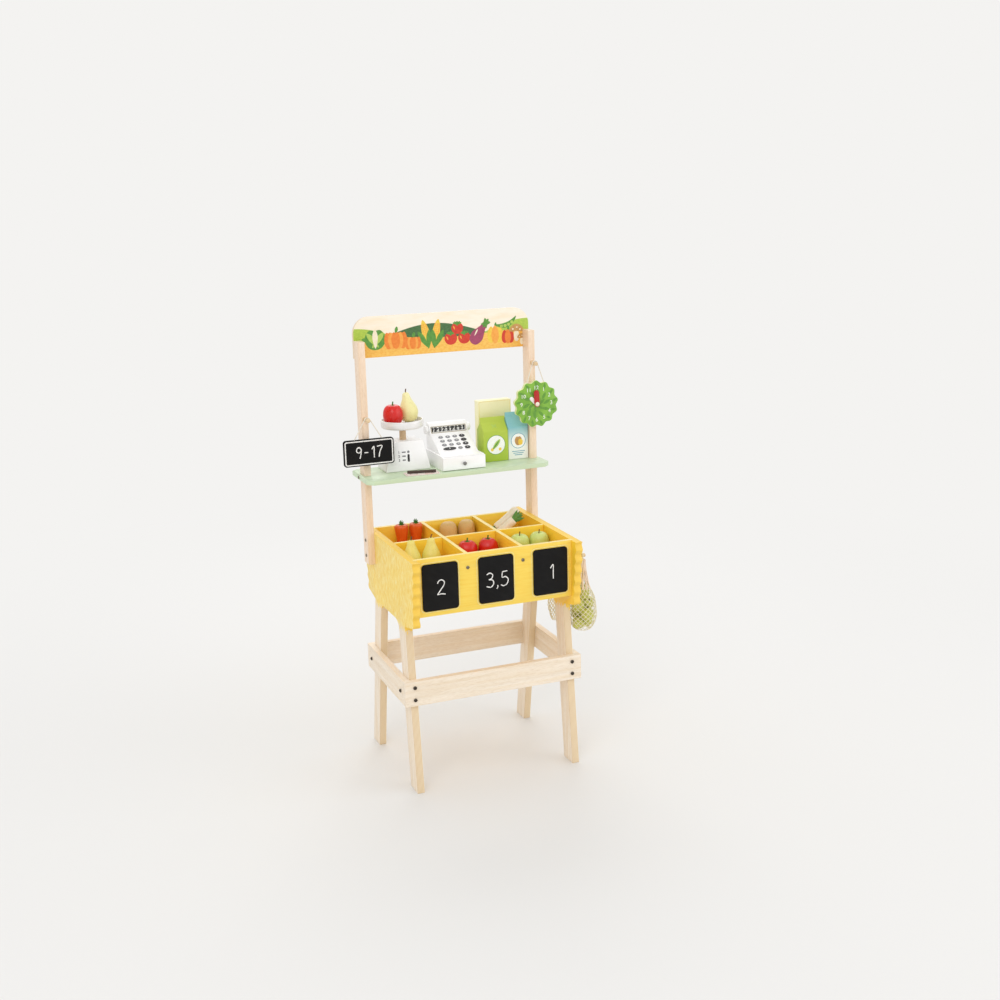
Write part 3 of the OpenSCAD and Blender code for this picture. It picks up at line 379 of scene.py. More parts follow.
def yellow_board(place_in_bin, colours, across, streak):
    """Yellow lacquered ply whose thickness runs along X, Y or Z (0, 1 or 2)."""
    finish, tree, shader, place = begin("yellow lacquer on ply, " + place_in_bin, 0.42)
    at, facing = axes(tree, place), faced(tree, place)
    tone = blend(tree, marks(tree, place, streak, 0.4, 0.75), *colours)
    sawn = blend(tree, plies(tree, at[across], 1.8, -0.2, 0.7), "#fce79c", "#f9de86")
    skin = marks(tree, place, 0.0012, detail=2)
    tree.links.new(ramp(tree, skin, to=(0.36, 0.5)), shader.inputs["Roughness"])
    coat(tree, shader, blend(tree, on_face(tree, facing[across]), sawn, tone), skin, 0.04)
    return finish


front_yellow = yellow_board("front", ("#f9d75c", "#f6cc48"), 1, (0.05, 0.05, 0.004))
board_yellow = yellow_board("boards", ("#ffd641", "#fdcb31"), 1, (0.06, 0.05, 0.006))
cross_yellow = yellow_board("dividers", ("#ffd641", "#fdcb31"), 0, (0.05, 0.06, 0.006))
floor_yellow = yellow_board("floor", ("#fdd042", "#f7c432"), 2, (0.06, 0.007, 0.05))
for node, width, finish in (
        ("bin_front_board", 0.8, front_yellow), ("bin_rear_board", 0.8, board_yellow),
        ("bin_long_divider", 0.7, board_yellow), ("bin_cross_divider_left", 0.7, cross_yellow),
        ("bin_cross_divider_right", 0.7, cross_yellow), ("bin_floor", 0.5, floor_yellow)):
    eased(node, width, finish)

# Price boards: three thin black chalkboards glued to the front board, each with a chalked number.
# A fine pale line is printed round each of them on the yellow board.


def piece(name, shape, finishes, body, slot, *nodes):
    """Makes a shape drawn in mm into a shown piece that moves with a body of the frame."""
    obj = as_object(shape, name)
    for finish in finishes:
        obj.data.materials.append(finish)
    obj.data.shade_smooth()
    obj.data.set_sharp_from_angle(angle=math.radians(40))
    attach(obj, body)
    if nodes:
        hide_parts(*nodes)
    return obj


def moved(x, y, z):
    """A place this many mm to the right, to the back and up."""
    return Matrix.Translation((x, y, z))


def smoothed(points, steps=6):
    """A smooth run through given points."""
    p = [Vector(q) for q in points]
    run = []
    for i in range(len(p) - 1):
        a, b, c, d = p[max(i - 1, 0)], p[i], p[i + 1], p[min(i + 2, len(p) - 1)]
        for k in range(steps):
            t = k / steps
            run.append((2 * b + (c - a) * t + (2 * a - 5 * b + 4 * c - d) * t * t
                        + (3 * b - a - 3 * c + d) * t ** 3) / 2)
    return run + [p[-1]]


def tube(shape, path, width, skin=0, around=10, flat=1.0, up=None):
    """A round or flattened section along a path in mm; width is one diameter or one for each point."""
    path = [Vector(p) for p in path]
    widths = width if isinstance(width, (list, tuple)) else [width] * len(path)
    rings, side = [], None
    for i, p in enumerate(path):
        way = (path[min(i + 1, len(path) - 1)] - path[max(i - 1, 0)]).normalized()
        if up is not None:
            side = way.cross(Vector(up)).normalized()
        elif side is None:
            side = way.orthogonal().normalized()
        else:
            side = (side - way * side.dot(way)).normalized()
        other = side.cross(way)
        rings.append([p + widths[i] / 2 * (side * x + other * flat * y) for x, y in ring(around, 1)])
    return over(shape, rings, skin)


def round_outline(w, h, r, steps=8):
    """A rectangle with round corners, about the origin."""
    points = []
    for k, (sx, sy) in enumerate(((1, 1), (-1, 1), (-1, -1), (1, -1))):
        for i in range(steps + 1):
            a = quarter * (k + i / steps)
            points.append((sx * (w / 2 - r) + r * math.cos(a), sy * (h / 2 - r) + r * math.sin(a)))
    return points


def line_frame(shape, outer, inner, thick, place):
    """A raised line between an outer and an inner outline with equally many points."""
    rows = [[shape.verts.new(place @ Vector((x, y, z))) for x, y in outline]
            for outline, z in ((outer, 0), (outer, thick), (inner, thick), (inner, 0))]
    for a, b in zip(rows, rows[1:] + rows[:1]):
        for i in range(len(a)):
            j = (i + 1) % len(a)
            shape.faces.new((a[i], a[j], b[j], b[i]))
    return shape


chalk_strokes = {
    "1": [[(.1, .75), (.3, 1), (.3, .5), (.3, 0)]],
    "2": [[(.05, .78), (.15, .95), (.35, 1), (.52, .85), (.48, .62), (.25, .32), (.02, .02)],
          [(.02, .02), (.3, .05), (.58, 0)]],
    "3": [[(.08, .9), (.3, 1), (.5, .85), (.42, .62), (.22, .55)],
          [(.22, .55), (.5, .48), (.55, .22), (.35, .02), (.05, .1)]],
    "5": [[(.5, 1), (.15, .98)],
          [(.15, .98), (.12, .6), (.35, .62), (.55, .42), (.45, .1), (.2, 0), (.03, .1)]],
    "7": [[(.05, .98), (.52, 1), (.3, .5), (.2, 0)]],
    "9": [[(.5, .8), (.35, 1), (.12, .92), (.08, .65), (.28, .52), (.48, .68), (.5, .85), (.46, .4),
           (.35, 0)]],
    ",": [[(.08, .1), (.1, 0), (.02, -.15)]],
    "-": [[(.05, .5), (.4, .5)]]}


def chalked(shape, text, height, place, width=2.4, gap=0.2):
    """Writes figures in chalk, centred on a place whose X runs right and Y runs up."""
    wide = [max(p[0] for s in chalk_strokes[c] for p in s) + gap for c in text]
    x = -(sum(wide) - gap) / 2
    for c, step in zip(text, wide):
        for k, s in enumerate(chalk_strokes[c]):
            path = smoothed([(p[0] + x, p[1] - 0.5, 0) for p in s], 5)
            path = [p * height for p in path]
            widths = [width * (0.82 + 0.3 * noise.noise((p.x * 0.2, p.y * 0.2, k + x))) for p in path]
            tube(shape, [place @ (p + Vector((0, 0, 0.05))) for p in path], widths, 0, 8, 0.12,
                 place.to_3x3() @ Vector((0, 0, 1)))
        x += step
    return shape


# Chalkboard paint: matt black with a little wiped chalk dust.
slate, tree, shader, place = begin("chalkboard paint", 0.82, Specular_IOR_Level=0.25)
dust = marks(tree, place, (0.03, 0.03, 0.012), 0.45, 0.8, (0, 0.5, 0))
grit = marks(tree, place, 0.0006, 0.4, 0.7, detail=2)
coat(tree, shader, blend(tree, calc(tree, "MULTIPLY", dust, 0.1), "#0f0e0e", "#3d3b39"), grit, 0.05)
# White chalk is broken up where it skips over the board's grit; the yellow print is flat and even.
chalk = mottled("white chalk", "#f4f2ee", "#a19e9a", 0.0009, 0.95, 0.5, 0.72, 0.1, detail=3)
pale_print = mottled("pale yellow screen print", "#fbf0b8", "#f6e59a", 0.004, 0.5, 0.35, 0.65)
outline_shape, number_shape = bmesh.new(), bmesh.new()
upright = Matrix.Rotation(quarter, 4, "X")
price_high = 30
for node, figure in (("price_board_left", "2"), ("price_board_middle", "3,5"), ("price_board_right", "1")):
    eased(node, 0.6, slate)
    low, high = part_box(node)
    mid = (low + high) / 2 / MM
    chalked(number_shape, figure, price_high, moved(mid.x + 1, low.y / MM, mid.z - 1) @ upright)
    line_frame(outline_shape, round_outline(81, 102, 9.5), round_outline(79, 100, 8.5), 0.12,
               moved(mid.x, high.y / MM + 0.02, mid.z) @ upright)
piece("chalked prices", number_shape, [chalk], "stall", "slate")
piece("lines round the price boards", outline_shape, [pale_print], "stall", "ply_yellow")

# Posts and header: two planed posts screwed outside the panels, the printed header behind their tops.
# The header shows hills under a cream sky with a row of plain vegetables, printed on ply.
post_pine = timber("pine, upright grain", 2, "#f8e1ca", "#f0d4b6")
for post in ("post_left", "post_right"):
    eased(post, 1, post_pine)
# Header print: cream sky, a dark hill, pale hills at both ends and warm ground; sawn edges stay bare ply.
header_print, tree, shader, place = begin("colour print on birch ply", 0.45)
at, facing = axes(tree, place), faced(tree, place)
tone = blend(tree, marks(tree, place, (0.05, 0.05, 0.012), 0.4, 0.7), "#fbf0dd", "#f8e7cb")
for wave, phase, level, swell, tint, deep in (
        (0.40, 1.9, 0.899, 0.020, "#4a7343", "#3b6437"), (0.38, 4.75, 0.893, 0.024, "#b3cc4c", "#a2c044"),
        (0.27, 4.1, 0.891, 0.003, "#f8c660", "#f1b249")):
    run = calc(tree, "SINE", calc(tree, "MULTIPLY_ADD", at["X"], 2 * math.pi / wave, phase))
    crest = calc(tree, "MULTIPLY_ADD", run, swell, level)
    under = ramp(tree, calc(tree, "SUBTRACT", crest, at["Z"]), 0, 0.0006)
    dabs = marks(tree, place, (0.006, 0.02, 0.003), 0.4, 0.65)
    tone = blend(tree, under, tone, blend(tree, dabs, tint, deep))
wood, pores = bare_wood(tree, place, 0, "#f0dfc6", "#e5c8a2")
front = calc(tree, "LESS_THAN", facing["Y"], -0.6)
coat(tree, shader, blend(tree, front, wood, tone), pores, 0.06)
eased("header_panel", 0.9, header_print)


def blob(form, wide=2, high=2, steps=5):
    """A closed smooth outline, turning left, through points from -1 to 1 drawn out to a size."""
    points = [(x * wide / 2, y * high / 2) for x, y in form]
    count = len(points)
    wrapped = [points[i % count] for i in range(-1, count + 2)]
    return [tuple(p) for p in smoothed(wrapped, steps)[steps:-steps - 1]]


inks = [mottled(name + " ink", first, second) for name, first, second in (
    ("red", "#d8402c", "#c9331f"), ("orange", "#ef8a35", "#e67a26"), ("yellow", "#f3cf4e", "#ecc03c"),
    ("leaf green", "#5f9a3f", "#4f8a34"), ("pale green", "#b5cf62", "#a5c152"),
    ("cream", "#f6ead0", "#efe0bd"), ("plum", "#a8486a", "#98405f"), ("brown", "#c99a5b", "#b98a4c"),
    ("amber", "#f6ab4c", "#ef9c3b"))]
red, orange, yellow, leaf, pale, cream, plum, brown, amber = range(9)
drop = [(0, -1), (.6, -.8), (.95, -.2), (.9, .4), (.5, .85), (0, .8), (-.5, .85), (-.9, .4), (-.95, -.2),
        (-.6, -.8)]
pear_form = [(0, -1), (.7, -.85), (1, -.35), (.7, .1), (.42, .5), (.35, .85), (0, 1), (-.35, .85),
             (-.42, .5), (-.7, .1), (-1, -.35), (-.7, -.85)]
blade = [(0, -1), (.28, -.3), (.32, .4), (0, 1), (-.32, .4), (-.28, -.3)]
cob = [(0, -1), (.6, -.75), (.85, -.1), (.6, .6), (0, 1), (-.6, .6), (-.85, -.1), (-.6, -.75)]
cap = [(1, -.35), (.85, .3), (.4, .8), (0, .92), (-.4, .8), (-.85, .3), (-1, -.35), (-.5, -.5), (0, -.42),
       (.5, -.5)]
pod = [(-1, .4), (-.6, -.35), (0, -.7), (.6, -.35), (1, .4), (.55, .2), (0, .05), (-.55, .2)]
print_shape = bmesh.new()
header_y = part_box("header_panel")[0].y / MM


def printed_form(form, x, z, wide, high, ink, layer, turn=0.0):
    """One flat printed form on the header, its middle at x and z in mm."""
    place = moved(x, header_y + 0.03, z) @ upright @ Matrix.Rotation(math.radians(turn), 4, "Z")
    slab(print_shape, blob(form, wide, high), 0.08 + 0.03 * layer, place, ink)


def swung(x, z, right, up, turn):
    """A place to the right of and above x and z on a form that is turned by this many degrees."""
    a = math.radians(turn)
    return x + right * math.cos(a) - up * math.sin(a), z + right * math.sin(a) + up * math.cos(a)


# A lettuce and two pumpkins.
printed_form(drop, -148, 893, 46, 44, leaf, 0)
for layer, (turn, ink) in enumerate(((-72, leaf), (72, leaf), (-40, pale), (40, pale), (0, cream))):
    printed_form(blade, -148 + turn * 0.14, 894 - abs(turn) * 0.07, 34, 40, ink, 1 + layer, -turn)
for x, z, s, front in ((-104, 889, 46, 6), (-67, 881, 33, 11)):
    printed_form(blade, x + 2, z + s * 0.44, 20, 15, leaf, front, -14)
    for k, (dx, ink) in enumerate(((-0.33, orange), (0.33, orange), (-0.15, amber), (0.15, amber),
                                   (0, orange))):
        printed_form(drop, x + dx * s, z, s * 0.42, s * 0.8, ink, front + k)
# Two ears of corn with their grains and leaves.
for x, turn, front in ((-38, 14, 0), (-15, -12, 5)):
    printed_form(cob, x, 900, 20, 54, yellow, front, turn)
    for k in range(18):
        grain = swung(x, 900, (-4.6, 0, 4.6)[k % 3], 3.9 * (k // 3) - 3, turn)
        printed_form(drop, *grain, 3.4, 3.2, amber, front + 1)
    for side in (-1, 1):
        printed_form(blade, x + 6.5 * side, 886, 34, 40, leaf, front + 3 + (side > 0), turn - 18 * side)
# Three tomatoes, each with a star of leaves and a glint.
for x, z, s, front in ((17, 884, 29, 0), (47, 884, 28, 0), (32, 905, 27, 7)):
    printed_form(drop, x, z, s, s * 0.92, red, front)
    for k, turn in enumerate((-72, -36, 0, 36, 72)):
        printed_form(blade, x - math.sin(math.radians(turn)) * 4.6, z + s * 0.36, 12, 11, leaf,
                     front + 1 + k, turn)
    printed_form(blade, x - s * 0.27, z + s * 0.04, 9, 9, amber, front + 1, 24)
# An aubergine, two peppers and a pod of peas.
printed_form(pear_form, 82, 893, 29, 58, plum, 7, -38)
printed_form(blade, 74, 893, 9, 16, cream, 8, -30)
for layer, turn in enumerate((-82, -38, 6)):
    printed_form(blade, 96, 911, 24, 22, leaf, 9 + layer, turn)
for x, z, s, inside, outside, front in ((117, 886, 36, amber, yellow, 0), (146, 880, 29, orange, red, 4)):
    printed_form(blade, x + 1, z + s * 0.52, 14, 14, leaf, front, -10)
    for k, (dx, ink) in enumerate(((-0.25, outside), (0.25, outside), (0, inside))):
        printed_form(cob, x + dx * s, z, s * 0.56, s * (0.96 + 0.04 * k), ink, front + 1 + k // 2)
printed_form(pod, 143, 909, 52, 28, leaf, 9, 18)
for k in (-1.5, -0.5, 0.5, 1.5):
    printed_form(drop, *swung(143, 909, 8.4 * k, k * k - 5, 18), 7, 7, pale, 10)
# Two mushrooms with spotted caps.
for x, z, s, front in ((166, 889, 1.15, 12), (178, 874, 0.75, 16)):
    printed_form(cob, x, z - 7 * s, 13 * s, 22 * s, cream, front)
    printed_form(cap, x, z + 5 * s, 28 * s, 20 * s, brown, front + 1)
    for dx, dz in ((-7, 5), (1, 8), (7, 4)):
        printed_form(drop, x + dx * s, z + dz * s, 3.4 * s, 3 * s, cream, front + 2)
piece("vegetables printed on the header", print_shape, inks, "stall", "header_print")

# Shelf: one board slotted over the posts, painted mint green and screwed in from its ends.
# The paint is rolled on, so it is even with a faint orange-peel skin.


def painted(name, colour, roughness=0.42, streak=0.03, depth=0.05, shade=0.93):
    """Sprayed or rolled paint: a little uneven in tone, with a fine skin."""
    finish, tree, shader, place = begin(name, roughness)
    broad = marks(tree, place, streak, 0.3, 0.7, detail=3)
    skin = marks(tree, place, 0.001, 0.3, 0.7, detail=2)
    rough = ramp(tree, skin, to=(roughness - 0.06, roughness + 0.06))
    tree.links.new(rough, shader.inputs["Roughness"])
    tone = blend(tree, broad, colour, (shade, shade, shade, 1), blend_type="MULTIPLY")
    coat(tree, shader, tone, skin, depth)
    return finish


eased("shelf", 1, painted("mint green paint", "#cfe2bf", 0.4, (0.16, 0.02, 0.02)))

# Screws and pegs: zinc-plated countersunk screws with a cross slot, and turned beech pegs.
# The screws hold the bins, posts, header and shelf; the pegs carry what hangs.
zinc = mottled("zinc-plated steel", "#9a9181", "#7a7163", 0.0015, 0.32, 0.35, 0.7, 0.04, Metallic=1.0)
cross = [(.45, .45), (.45, 2), (-.45, 2), (-.45, .45), (-2, .45), (-2, -.45),
         (-.45, -.45), (-.45, -2), (.45, -2), (.45, -.45), (2, -.45), (2, .45)]
slot_deep = 1.6
board_front_y, board_rear_y, board_screw_z = -148.1, 142.1, 464
post_x, post_y, post_side, post_rows = 187, 106, 196.1, (441.75, 475.25)
header_back, header_rows = 133.1, (865.25, 883.75)
shelf_end, shelf_z = 204.1, 611.5
divider_low, divider_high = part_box("bin_cross_divider_right")
divider_x = (divider_low.x + divider_high.x) / 2 / MM
spots = []
for s in (-1, 1):
    spots.append(((s * divider_x, board_front_y, board_screw_z), (-quarter, 0, 0), 1))
    spots.append(((s * divider_x, board_rear_y, board_screw_z), (quarter, 0, 0), 1))
    for z in post_rows:
        spots.append(((s * post_side, post_y, z), (0, -s * quarter, 0), 1))
    for z in header_rows:
        spots.append(((s * post_x, header_back, z), (quarter, 0, 0), 1))
    spots.append(((s * shelf_end, post_y, shelf_z), (0, -s * quarter, 0), 1))
slots = as_object(repeat(slab(bmesh.new(), cross, slot_deep), spots, zinc), "cross slots")
eased("wood_screws", 0.25, zinc, slots)
eased("pegs", 0.6, timber("turned beech", 1, "#e8cfa9", "#d9b98a"))

# Hanging sign: a black chalkboard on a twisted cotton cord over the left peg, with chalked hours.
# A white line is painted round it inside the edge.


def cord_path(peg, w, h, radius, inside):
    """The run of a cord from one hole up over its peg and down to the other, in mm."""
    a = math.atan2(-h, w) + math.acos(radius / math.hypot(w, h))
    length = math.sqrt(w * w + h * h - radius * radius) + inside
    left = Vector((-math.cos(a), 0, math.sin(a))) * radius
    down = Vector((-math.sin(a), 0, -math.cos(a)))
    path = [left + down * length * (1 - k / 24) for k in range(24)]
    turns = [a + (math.pi - 2 * a) * k / 24 for k in range(25)]
    path += [Vector((-math.cos(t), 0, math.sin(t))) * radius for t in turns]
    path += [Vector((-p.x, 0, p.z)) for p in reversed(path[:24])]
    return [Vector(peg) + p for p in path]


def twisted(shape, path, width, lay, strands=3):
    """A laid cord: strands wound round the path, one turn in each lay length."""
    fine = smoothed(path, 3)
    gone, lengths = 0.0, [0.0]
    for a, b in zip(fine, fine[1:]):
        gone += (b - a).length
        lengths.append(gone)
    frames, side = [], None
    for i, p in enumerate(fine):
        way = (fine[min(i + 1, len(fine) - 1)] - fine[max(i - 1, 0)]).normalized()
        side = way.orthogonal().normalized() if side is None else (side - way * side.dot(way)).normalized()
        frames.append((p, side, way.cross(side)))
    for s in range(strands):
        run = []
        for (p, u, v), d in zip(frames, lengths):
            a = 2 * math.pi * (d / lay + s / strands)
            run.append(p + width * 0.23 * (u * math.cos(a) + v * math.sin(a)))
        tube(shape, run, width * 0.54, 0, 6)
    return shape


def hung(name, path, width, lay, finish, body, slot, *nodes):
    """A laid cord along a path in mm, shown as a piece."""
    cord = piece(name, twisted(bmesh.new(), path, width, lay), [finish], body, slot, *nodes)


# Cotton cord: off-white, matt, with fine fibres.
cotton = mottled("twisted cotton cord", "#f4efe4", "#ddd3bf", (0.0004, 0.0004, 0.002), 0.9, 0.3, 0.7, 0.15,
                 (0.5, 0.3, 0), 2)
cord_d, cord_lay, cord_bend, cord_in = 2.4, 5.5, 5.5, 3
peg_y, sign_peg_z, sign_hole_x = 73.75, 735, 29
eased("sign_board", 0.8, slate)
sign_low, sign_high = (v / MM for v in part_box("sign_board"))
sign_mid = (sign_low + sign_high) / 2
sign_front = moved(sign_mid.x, sign_low.y + 0.02, sign_mid.z) @ upright
sign_marks = line_frame(bmesh.new(), round_outline(102.4, 50.4, 4.6), round_outline(97.6, 45.6, 2.6), 0.15,
                        sign_front)
chalked(sign_marks, "9-17", 23, sign_front, 2.6, 0.24)
piece("chalked hours", sign_marks, [chalk], "sign", "slate")
sign_path = cord_path((-post_x, peg_y, sign_peg_z), sign_hole_x, sign_peg_z - sign_high.z, cord_bend, cord_in)
hung("twisted sign cord", sign_path, cord_d, cord_lay, cotton, "sign", "cord", "sign_cord")

# Play clock: a wavy green disc of painted ply on a cord, with leaf marks and white figures.
# A white hour hand and a red minute hand turn on a pale pin.
clock_paint, tree, shader, place = begin("leaf green paint on ply", 0.42)
facing = faced(tree, place)
patches = marks(tree, place, 0.022, 0.4, 0.65)
front = calc(tree, "LESS_THAN", facing["Y"], -0.6)
coat(tree, shader, blend(tree, front, "#dde4a4", blend(tree, patches, "#86ba40", "#70a636")), patches, 0.05)
eased("clock_face", 0.9, clock_paint)
clock_y, clock_z, clock_peg_z, clock_hole_x, clock_hole_drop = 69.25, 738, 824, 20, 42.36
clock_front = moved(post_x, clock_y + 0.02, clock_z) @ upright
dark_leaf = mottled("dark green ink", "#5d9333", "#6aa23b", 0.003)
white_ink = mottled("white ink", "#fbfbf7", "#f1f1ea", 0.003)
leaf_form = [(0, -6), (2.2, -1), (1.8, 3), (0, 6), (-1.8, 3), (-2.2, -1)]
leaf_mark = slab(bmesh.new(), blob(leaf_form, steps=4), 0.12)
spots = []
for radius, count, shift, size in ((41.5, 13, 0.12, 1.1), (24, 10, 0.12, 1.4), (13, 6, 0.3, 1.2)):
    for i in range(count):
        a = 2 * math.pi * i / count + shift
        p = clock_front @ Vector((radius * math.cos(a), radius * math.sin(a), 0))
        spots.append((p, (clock_front @ Matrix.Rotation(a - quarter + 0.35, 4, "Z")).to_euler(), size))
piece("leaf marks on the clock", repeat(leaf_mark, spots, dark_leaf, 3, 0.12), [dark_leaf], "clock",
      "clock_green")


def figures(shape, text, height, place, thick=0.16, bold=0.0):
    """Printed figures of this height in mm, centred on a place whose X runs right and Y up."""
    words = bpy.data.curves.new("figures", "FONT")
    words.body, words.size, words.extrude, words.offset = text, height / 0.69, thick / 2, bold
    words.align_x, words.align_y, words.resolution_u = "CENTER", "CENTER", 3
    obj = bpy.data.objects.new("figures", words)
    bpy.context.scene.collection.objects.link(obj)
    bpy.context.view_layer.update()
    mesh = bpy.data.meshes.new_from_object(obj.evaluated_get(bpy.context.evaluated_depsgraph_get()))
    bpy.data.objects.remove(obj)
    part = bmesh.new()
    part.from_mesh(mesh)
    bmesh.ops.remove_doubles(part, verts=part.verts, dist=0.002)
    bmesh.ops.transform(part, matrix=place @ moved(0, 0, thick / 2), verts=part.verts)
    for f in part.faces:
        f.material_index = 0
    part.to_mesh(mesh)
    part.free()
    shape.from_mesh(mesh)
    return shape


hour_shape, hour_r, hour_high = bmesh.new(), 34.5, 8.2
for hour in range(1, 13):
    a = quarter - 2 * math.pi * hour / 12
    spot = clock_front @ moved(hour_r * math.cos(a), hour_r * math.sin(a), 0)
    figures(hour_shape, str(hour), hour_high, spot)
piece("hours on the clock", hour_shape, [white_ink], "clock", "clock_green")
eased("clock_hour_hand", 0.35, painted("white paint on hand", "#f7f6f1", 0.4))
eased("clock_minute_hand", 0.35, painted("red paint on hand", "#b8211a", 0.38))
eased("clock_pin", 0.4, painted("ivory paint on pin", "#f1ead6", 0.4))
clock_path = cord_path((post_x, peg_y, clock_peg_z), clock_hole_x, clock_hole_drop, cord_bend, cord_in)
hung("twisted clock cord", clock_path, cord_d, cord_lay, cotton, "clock", "cord", "clock_cord")

# Net bags: two knotted cotton nets on the right panel's pegs, one full of wooden fruit, one empty.
# The mouth of each net is gathered into a bundle of strands under a loop of cord over its peg.


def turned(shape, side, place=Matrix(), skin=0, around=48, swell=None):
    """A turned form: a smooth profile of (radius, height) in mm about Z, swollen as asked."""
    rings = []
    for p in smoothed(side, 5):
        row = []
        for k in range(around):
            a = 2 * math.pi * k / around
            r = max(p[0], 0.05) * (swell(a, p[1]) if swell else 1)
            row.append(place @ Vector((r * math.cos(a), r * math.sin(a), p[1])))
        rings.append(row)
    return over(shape, rings, skin)


bag_side = smoothed([(.3, 0), (.72, .05), (.97, .18), (1, .3), (.82, .48), (.46, .62), (.24, .74), (.15, .88),
                     (.13, 1)], 8)


def bag_radius(share, wide):
    """Radius of a hanging bag at a share of its height."""
    for a, b in zip(bag_side, bag_side[1:]):
        if a[1] <= share <= b[1]:
            return wide / 2 * min(1, a[0] + (b[0] - a[0]) * (share - a[1]) / max(b[1] - a[1], 1e-6))
    return wide / 2 * bag_side[-1][0]


def net(foot, wide, high, count, turns, crumple, low=0.012, top=0.66, thick=1.4, flare=0.0):
    """Crossing strands of a net over a bag between two shares of its height, flared to the top."""
    shape = bmesh.new()
    shares = [low + (top - low) * k / 56 for k in range(57)]
    for way in (-1, 1):
        for s in range(count):
            run = []
            for share in shares:
                b = way * 2 * math.pi * turns * share / top + 2 * math.pi * s / count
                r = bag_radius(share, wide) * (1 + flare * (share - low) / (top - low)) + 0.25 * way
                r *= 1 + crumple * noise.noise((math.cos(b) * 1.4, math.sin(b) * 1.4, share * 7 + wide))
                run.append(foot + Vector((r * math.cos(b), r * math.sin(b), share * high)))
            tube(shape, run, thick, 0, 5)
    return shape


bag_cotton = mottled("unbleached cotton net", "#f0e8cd", "#dccfa8", 0.002, 0.92)
# The gathered mouth is the same cotton as the net; its pinkish beige tint is painted shade between the
# bundled strands.
mouth_cotton_painted_shade = mottled("cotton strands tinted with painted shade", "#f4e0cb", "#e6ccb3", 0.0015, 0.92)
fruit_paint = painted("yellow-green paint on wood", "#d0d263", 0.4, 0.02, 0.05, 0.86)
stalk_wood = mottled("brown stained stalk", "#6d4a2b", "#58391f", 0.002, 0.6)
fruit_form = [(0, -1), (.5, -.96), (.86, -.62), (1, -.06), (.88, .54), (.56, .88), (.2, .85), (0, .7)]
fruit_stalk = ((0, 0, 0.6), (0.05, 0, 0.9), (0.12, 0, 1.05))
# Each fruit: the way it lies from the middle in degrees and mm, its height, radius and lean.
fruit_places = ((20, 12.4, 18, 12.4, 0.5), (200, 12.4, 18, 12.4, -0.7), (110, 13.9, 37, 13.9, 0.4),
                (290, 13.9, 37, 13.9, -0.3), (20, 13.9, 57, 13.9, 0.9), (200, 13.9, 57, 13.9, -0.5),
                (0, 0, 82.5, 15, 0.3))
bag_x, bag_top, bag_peg_z, loop_r, loop_d, loop_lay, neck_share = 213, 435.7, 440, 5.6, 3, 7, 0.66
for bag, body, y, wide, long, full in (("full_net_bag", "full_bag", -94, 58, 158, True),
                                       ("empty_net_bag", "empty_bag", 48, 28, 181, False)):
    foot = Vector((bag_x, y, bag_top - long))
    mesh_net = net(foot, wide, long, *((16, 0.62, 0.05) if full else (12, 0.95, 0.3)))
    mouth = net(foot, wide, long, 10, 0.3, 0.18, 0.58, 0.97, 2.4, 0.9)
    neck = foot.z + long * neck_share
    rise = [(3.2, neck), (3.8, neck + 12), (4.8, 424), (loop_r, 436)]
    bends = [math.pi * k / 8 for k in range(9)]
    loop = [(bag_x, y - out, z) for out, z in rise]
    loop += [(bag_x, y - loop_r * math.cos(a), bag_peg_z + loop_r * math.sin(a)) for a in bends]
    loop += [(bag_x, y + out, z) for out, z in reversed(rise)]
    if full:
        fruit = bmesh.new()
        for turn, out, z, r, lean in fruit_places:
            a = math.radians(turn)
            spot = Matrix.Translation(foot + Vector((out * math.cos(a), out * math.sin(a), z)))
            spot = spot @ Matrix.Rotation(lean, 4, "X") @ Matrix.Scale(r, 4)
            turned(fruit, fruit_form, spot, 0, 32)
            tube(fruit, [spot @ Vector(p) for p in fruit_stalk], 2, 1, 7)
        piece("fruit in the full bag", fruit, [fruit_paint, stalk_wood], body, "net")
    piece(bag + " net", mesh_net, [bag_cotton], body, "net", bag)
    piece(bag + " gathered mouth", mouth, [mouth_cotton_painted_shade], body, "net")
    hung(bag + " loop", smoothed(loop, 3), loop_d, loop_lay, bag_cotton, body, "net")

# Play scale: a white painted wooden housing with a printed gauge, a dowel and a turned silver dish.
# It stands on the shelf beside the register.
white_paint = painted("white paint on wood", "#fcfbfa", 0.36, 0.04, 0.04, 0.98)
silver_paint = mottled("silver paint on turned wood", "#f6f4f3", "#e6e4e3", (0.05, 0.05, 0.0012), 0.32,
                       0.3, 0.7, 0.04, Metallic=0.2)
eased("scale_body", 2, white_paint)
eased("scale_stem", 0.4, timber("beech dowel", 2, "#e0c5a0", "#d0ad82"))
eased("scale_dish", 0.7, silver_paint)


def stand(node):
    """The middle of the front lower edge of a standing piece, in mm."""
    low, high = (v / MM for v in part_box(node))
    return moved((low.x + high.x) / 2, low.y, low.z)


grey_ink = mottled("grey ink", "#77777a", "#6a6a6d", 0.002)
black_ink = mottled("black ink", "#262424", "#333030", 0.002)
scale_lean, scale_high = 4, 58
gauge_turn = Matrix.Rotation(quarter - math.atan2(scale_lean, scale_high), 4, "X")
gauge_place = stand("scale_body") @ moved(-8, 27 * scale_lean / scale_high - 0.05, 31) @ gauge_turn
gauge, row_y, row_step, pointer_x = bmesh.new(), 9, 8.4, 9.5
for row, text in enumerate("123"):
    y = row_y - row_step * row
    figures(gauge, text, 5.4, gauge_place @ moved(-11, y, 0), bold=0.15)
    slab(gauge, round_outline(9 - row, 2.6, 1, 4), 0.14, gauge_place @ moved(-0.5, y, 0))
slab(gauge, ring(24, 2.6), 0.14, gauge_place @ moved(pointer_x, row_y, 0))
slab(gauge, round_outline(4.8, 16, 2), 0.16, gauge_place @ moved(pointer_x, -4, 0), 1)
piece("gauge on the scale", gauge, [grey_ink, black_ink], "scale", "white_paint")

